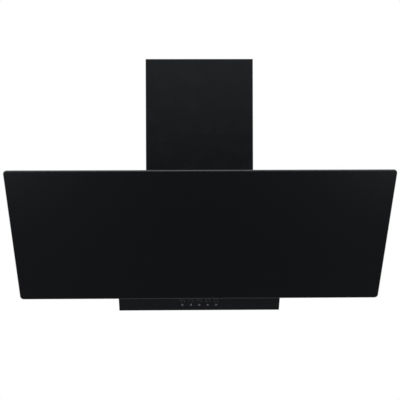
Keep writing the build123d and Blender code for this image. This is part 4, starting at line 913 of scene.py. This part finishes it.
# ------------------------------------------------------------------------------------------ blower
# A forward-curved impeller runs in a scroll of grey moulded plastic, in two halves screwed together.
# Its motor sits inside the left inlet on a three-armed spider with rubber bushes.
grey_plastic = moulded("grey_moulded_plastic", (0.20, 0.205, 0.21), (0.27, 0.275, 0.28), 0.48)
softened("scroll_half_left", MOULDED_ROUND, grey_plastic, pierced=True)
softened("scroll_half_right", MOULDED_ROUND, grey_plastic, pierced=True)
for ring in ("inlet_ring_left", "inlet_ring_right", "impeller"):
    dressed(ring, black_plastic)
for steel in ("impeller_nut", "motor_shaft", "blower_screws"):
    dressed(steel, bright_zinc)

galvanised, tree, shader = surface("galvanised_steel_sheet", Metallic=1.0)
spangle = {"Vector": object_place(tree), "Scale": 150.0, "Randomness": 1.0}
spangle = shader_step(tree, "TexVoronoi", spangle).outputs["Color"]
crystal = shader_step(tree, "SeparateColor", {0: spangle}).outputs[0]
varied(tree, shader, crystal, ((0.44, 0.45, 0.46), (0.62, 0.63, 0.64)), (0.30, 0.46), (0.0, 1.0))
bumped(tree, shader, noise(tree, 2600.0, detail=2.0), 0.000008)
BRACKET_ROUND = 0.00015
softened("motor_bracket", BRACKET_ROUND, galvanised, pierced=True)
dressed("motor_housing", galvanised)
rubber = moulded(
    "black_rubber", (0.010, 0.010, 0.010), (0.020, 0.020, 0.020), gloss=0.72, grain_scale=2400.0
)
dressed("motor_bushes", rubber)
dressed("internal_wiring", rubber)
white_plastic = moulded("white_moulded_plastic", (0.66, 0.66, 0.63), (0.74, 0.74, 0.71), 0.42)
dressed("run_capacitor", white_plastic)


# ------------------------------------------------------------------------------- outlet and damper
# A moulded collar for a 150 mm duct stands on the top plate. Two half-round flaps on a steel rod
# fall shut when the blower stops.
softened("outlet_collar", MOULDED_ROUND, black_plastic, pierced=True)
dressed("damper_rod", bright_zinc)
FLAP_ROUND = 0.0002
softened("damper_flap_left", FLAP_ROUND, black_plastic, pierced=True)
softened("damper_flap_right", FLAP_ROUND, black_plastic, pierced=True)


# ----------------------------------------------------------------------------------------- chimney
# Two telescopic covers of folded steel in the same satin black as the housing. The upper one has
# punched vents at its sides, which keep their sharp edges, and hangs on a wall bracket.
softened("chimney_lower_cover", FOLD_ROUND, satin_black)
softened("chimney_upper_cover", FOLD_ROUND, satin_black, pierced=True, rim_only=True)
softened("chimney_wall_bracket", FOLD_ROUND, galvanised)
dressed("bracket_screws", bright_zinc)


# ------------------------------------------------------------------------------------------- lamps
# Two recessed lamps in the underside. Each has a spun satin chrome ring with a rolled lip, a frosted
# lens with moulded rings, and a white board with six light-emitting diodes under yellow phosphor.
LAMP_FROM_MIDDLE = 0.130
LAMP_FROM_WALL = 0.054
UNDERSIDE = -0.225
LAMP_FLANGE = 0.031
LAMP_BARREL = 0.027
LAMP_BORE = 0.0255
LAMP_DEPTH = 0.014
LIP = -0.0015
LENS = 0.0254
LENS_FRONT = -0.00075
LENS_BACK = 0.00175
LENS_RINGS = 9
RING_PITCH = 0.0026
RING_GROOVE = 0.00045
RING_HALF = 0.0008
bezel_profile = [
    (LAMP_BORE, LAMP_DEPTH),
    (LAMP_BORE, LENS_BACK),
    (LAMP_BORE, LIP + 0.0006),
    (LAMP_BORE + 0.0002, LIP + 0.0002),
    (LAMP_BORE + 0.0008, LIP),
    (LAMP_BORE + 0.0016, LIP + 0.0001),
    (LAMP_BORE + 0.0021, LIP + 0.0005),
    (LAMP_BORE + 0.0027, LIP + 0.0005),
    (LAMP_BORE + 0.0032, LIP + 0.0001),
    (LAMP_FLANGE - 0.0012, LIP + 0.0002),
    (LAMP_FLANGE - 0.0004, LIP + 0.0005),
    (LAMP_FLANGE, LIP + 0.0010),
    (LAMP_FLANGE, LIP + 0.0015),
    (LAMP_BARREL, LIP + 0.0015),
    (LAMP_BARREL, LAMP_DEPTH),
]
lens_profile = [(LENS, LENS_BACK), (LENS, LENS_FRONT + 0.0004), (LENS - 0.0004, LENS_FRONT)]
for number in range(LENS_RINGS):
    crest = LENS - 0.0020 - number * RING_PITCH
    groove = (crest - RING_HALF, LENS_FRONT + RING_GROOVE)
    lens_profile += [(crest, LENS_FRONT), groove, (crest - 2 * RING_HALF, LENS_FRONT)]

frosted, tree, shader = surface("frosted_lens", IOR=1.5, Transmission_Weight=0.4)
cloud = noise(tree, 300.0, detail=3.0)
varied(tree, shader, cloud, ((0.84, 0.85, 0.84), (0.93, 0.94, 0.93)), (0.20, 0.32))
bumped(tree, shader, noise(tree, 2600.0, detail=1.0), 0.00001)

board_mask, start, end = effect("printed_board", {"Tracks": 620.0}, ["Track", "Weave"])
tracks = {"Vector": object_place(board_mask), "Scale": start["Tracks"]}
tracks = shader_step(board_mask, "TexBrick", tracks).outputs["Fac"]
board_mask.links.new(tracks, end.inputs["Track"])
board_mask.links.new(noise(board_mask, 2200.0, detail=2.0), end.inputs["Weave"])
white_board, tree, shader = surface("white_lacquered_board", Coat_Weight=0.3)
lacquer = use(tree, board_mask)
track_tone = tinted(tree, lacquer["Track"], (0.74, 0.75, 0.73), (0.60, 0.62, 0.60))
tree.links.new(track_tone, shader.inputs["Base Color"])
tree.links.new(ranged(tree, lacquer["Weave"], 0.3, 0.7, 0.30, 0.42), shader.inputs["Roughness"])
bumped(tree, shader, lacquer["Track"], 0.00002)

phosphor, tree, shader = surface("yellow_phosphor", Coat_Weight=0.4)
powder = noise(tree, 1600.0, detail=3.0)
varied(tree, shader, powder, ((0.70, 0.52, 0.10), (0.82, 0.66, 0.20)), (0.30, 0.45))

bright_chrome = satin_chrome("satin_chrome_ring", (0.52, 0.53, 0.55), (0.66, 0.67, 0.69))
dressed("lamp_boards", white_board)
BEADS = 6
BEAD_PLANE = 0.01165
bead_profile = [(0.0011, 0.0), (0.0009, -0.00018), (0.0004, -0.00028)]
for side, across in (("left", -LAMP_FROM_MIDDLE), ("right", LAMP_FROM_MIDDLE)):
    place = Vector((across, -LAMP_FROM_WALL, UNDERSIDE))
    bezel = turned(f"lamp_bezel_{side}", bezel_profile, 96, bored=True)
    lens = turned(f"lamp_lens_{side}", lens_profile, 96)
    fitted = ((bezel, bright_chrome, "lamp_bezels"), (lens, frosted, "lamp_lenses"))
    for piece, finish, node in fitted:
        settle(piece, Matrix.Translation(place))
        smooth(piece, SHARP_ANGLE)
        piece.data.materials.append(finish)
        finished(piece, "housing", slot_of[node], *([node] if side == "left" else []))
    for number in range(BEADS):
        turn = math.tau * number / BEADS
        spot = place + Vector((math.cos(turn), math.sin(turn), 0)) * LAMP_BORE / 2
        bead = turned(f"lamp_{side}_phosphor_{number}", bead_profile, 20)
        settle(bead, Matrix.Translation(spot + Vector((0, 0, BEAD_PLANE))))
        smooth(bead)
        bead.data.materials.append(phosphor)
        finished(bead, "housing", slot_of["lamp_boards"])


# -------------------------------------------------------------------------------------- electrics
# A terminal box with its cover, a lamp driver and the cable gland, all moulded plastic. The gland
# has a domed clamping nut with grip ribs, a flange on the top plate, and a six-sided nut below the
# plate, out of which its thread stands a little.
BOX_ROUND = 0.0006
for box in ("terminal_box", "terminal_box_cover", "lamp_driver"):
    softened(box, BOX_ROUND, white_plastic, pierced=True)

GLAND_PLACE = Matrix.Translation((-0.105, -0.026, 0.110))
GLAND_BORE = 0.0037
GLAND_BODY = 0.0060
GLAND_FLANGE = 0.0095
GLAND_TOP = 0.0120
GLAND_NUT = 0.0040
GLAND_THREAD = 0.0050
THREAD_END = 0.0006
SHEET = 0.001
gland_profile = [
    (GLAND_BORE, -SHEET - GLAND_NUT),
    (GLAND_BORE, GLAND_TOP - 0.0030),
    (GLAND_BORE, GLAND_TOP - 0.0002),
    (GLAND_BORE + 0.0002, GLAND_TOP),
    (GLAND_BORE + 0.0007, GLAND_TOP),
    (GLAND_BODY - 0.0008, GLAND_TOP - 0.0008),
    (GLAND_BODY - 0.0004, GLAND_TOP - 0.0020),
    (GLAND_BODY - 0.0003, 0.0047),
    (GLAND_BODY - 0.0003, 0.0040),
    (GLAND_FLANGE - 0.0004, 0.0040),
    (GLAND_FLANGE, 0.0036),
    (GLAND_FLANGE, 0.0),
    (GLAND_BODY, 0.0),
    (GLAND_BODY, -SHEET - GLAND_NUT),
]
gland = turned("mains_gland_body", gland_profile, 64, bored=True)
GRIP_RIBS = 16
RIB_OUT = 0.0056
RIB_MIDDLE = 0.0073
GRIP_RIB_SIZE = (0.0007, 0.0007, 0.0052)
fittings = []
for number in range(GRIP_RIBS):
    turn = math.tau * number / GRIP_RIBS
    rib_place = (RIB_OUT * math.cos(turn), RIB_OUT * math.sin(turn), RIB_MIDDLE)
    bpy.ops.mesh.primitive_cube_add(size=1.0, location=rib_place)
    rib = bpy.context.object
    rib.scale = GRIP_RIB_SIZE
    rib.rotation_euler = (0, 0, turn)
    fittings.append(rib)
nut_foot = THREAD_END - SHEET - GLAND_NUT
nut_profile = [
    (GLAND_FLANGE, nut_foot),
    (GLAND_FLANGE, -SHEET),
    (GLAND_THREAD, -SHEET),
    (GLAND_THREAD, nut_foot),
]
nut = turned("mains_gland_nut", nut_profile, 6, bored=True)
settle(nut, Matrix.Rotation(math.pi / 6, 4, "Z"))
fittings.append(nut)
only(gland)
for fitting in fittings:
    fitting.select_set(True)
bpy.ops.object.join()
settle(gland, GLAND_PLACE)
smooth(gland, 40.0)
gland.data.materials.append(black_plastic)
finished(gland, "housing", slot_of["mains_gland"], "mains_gland")
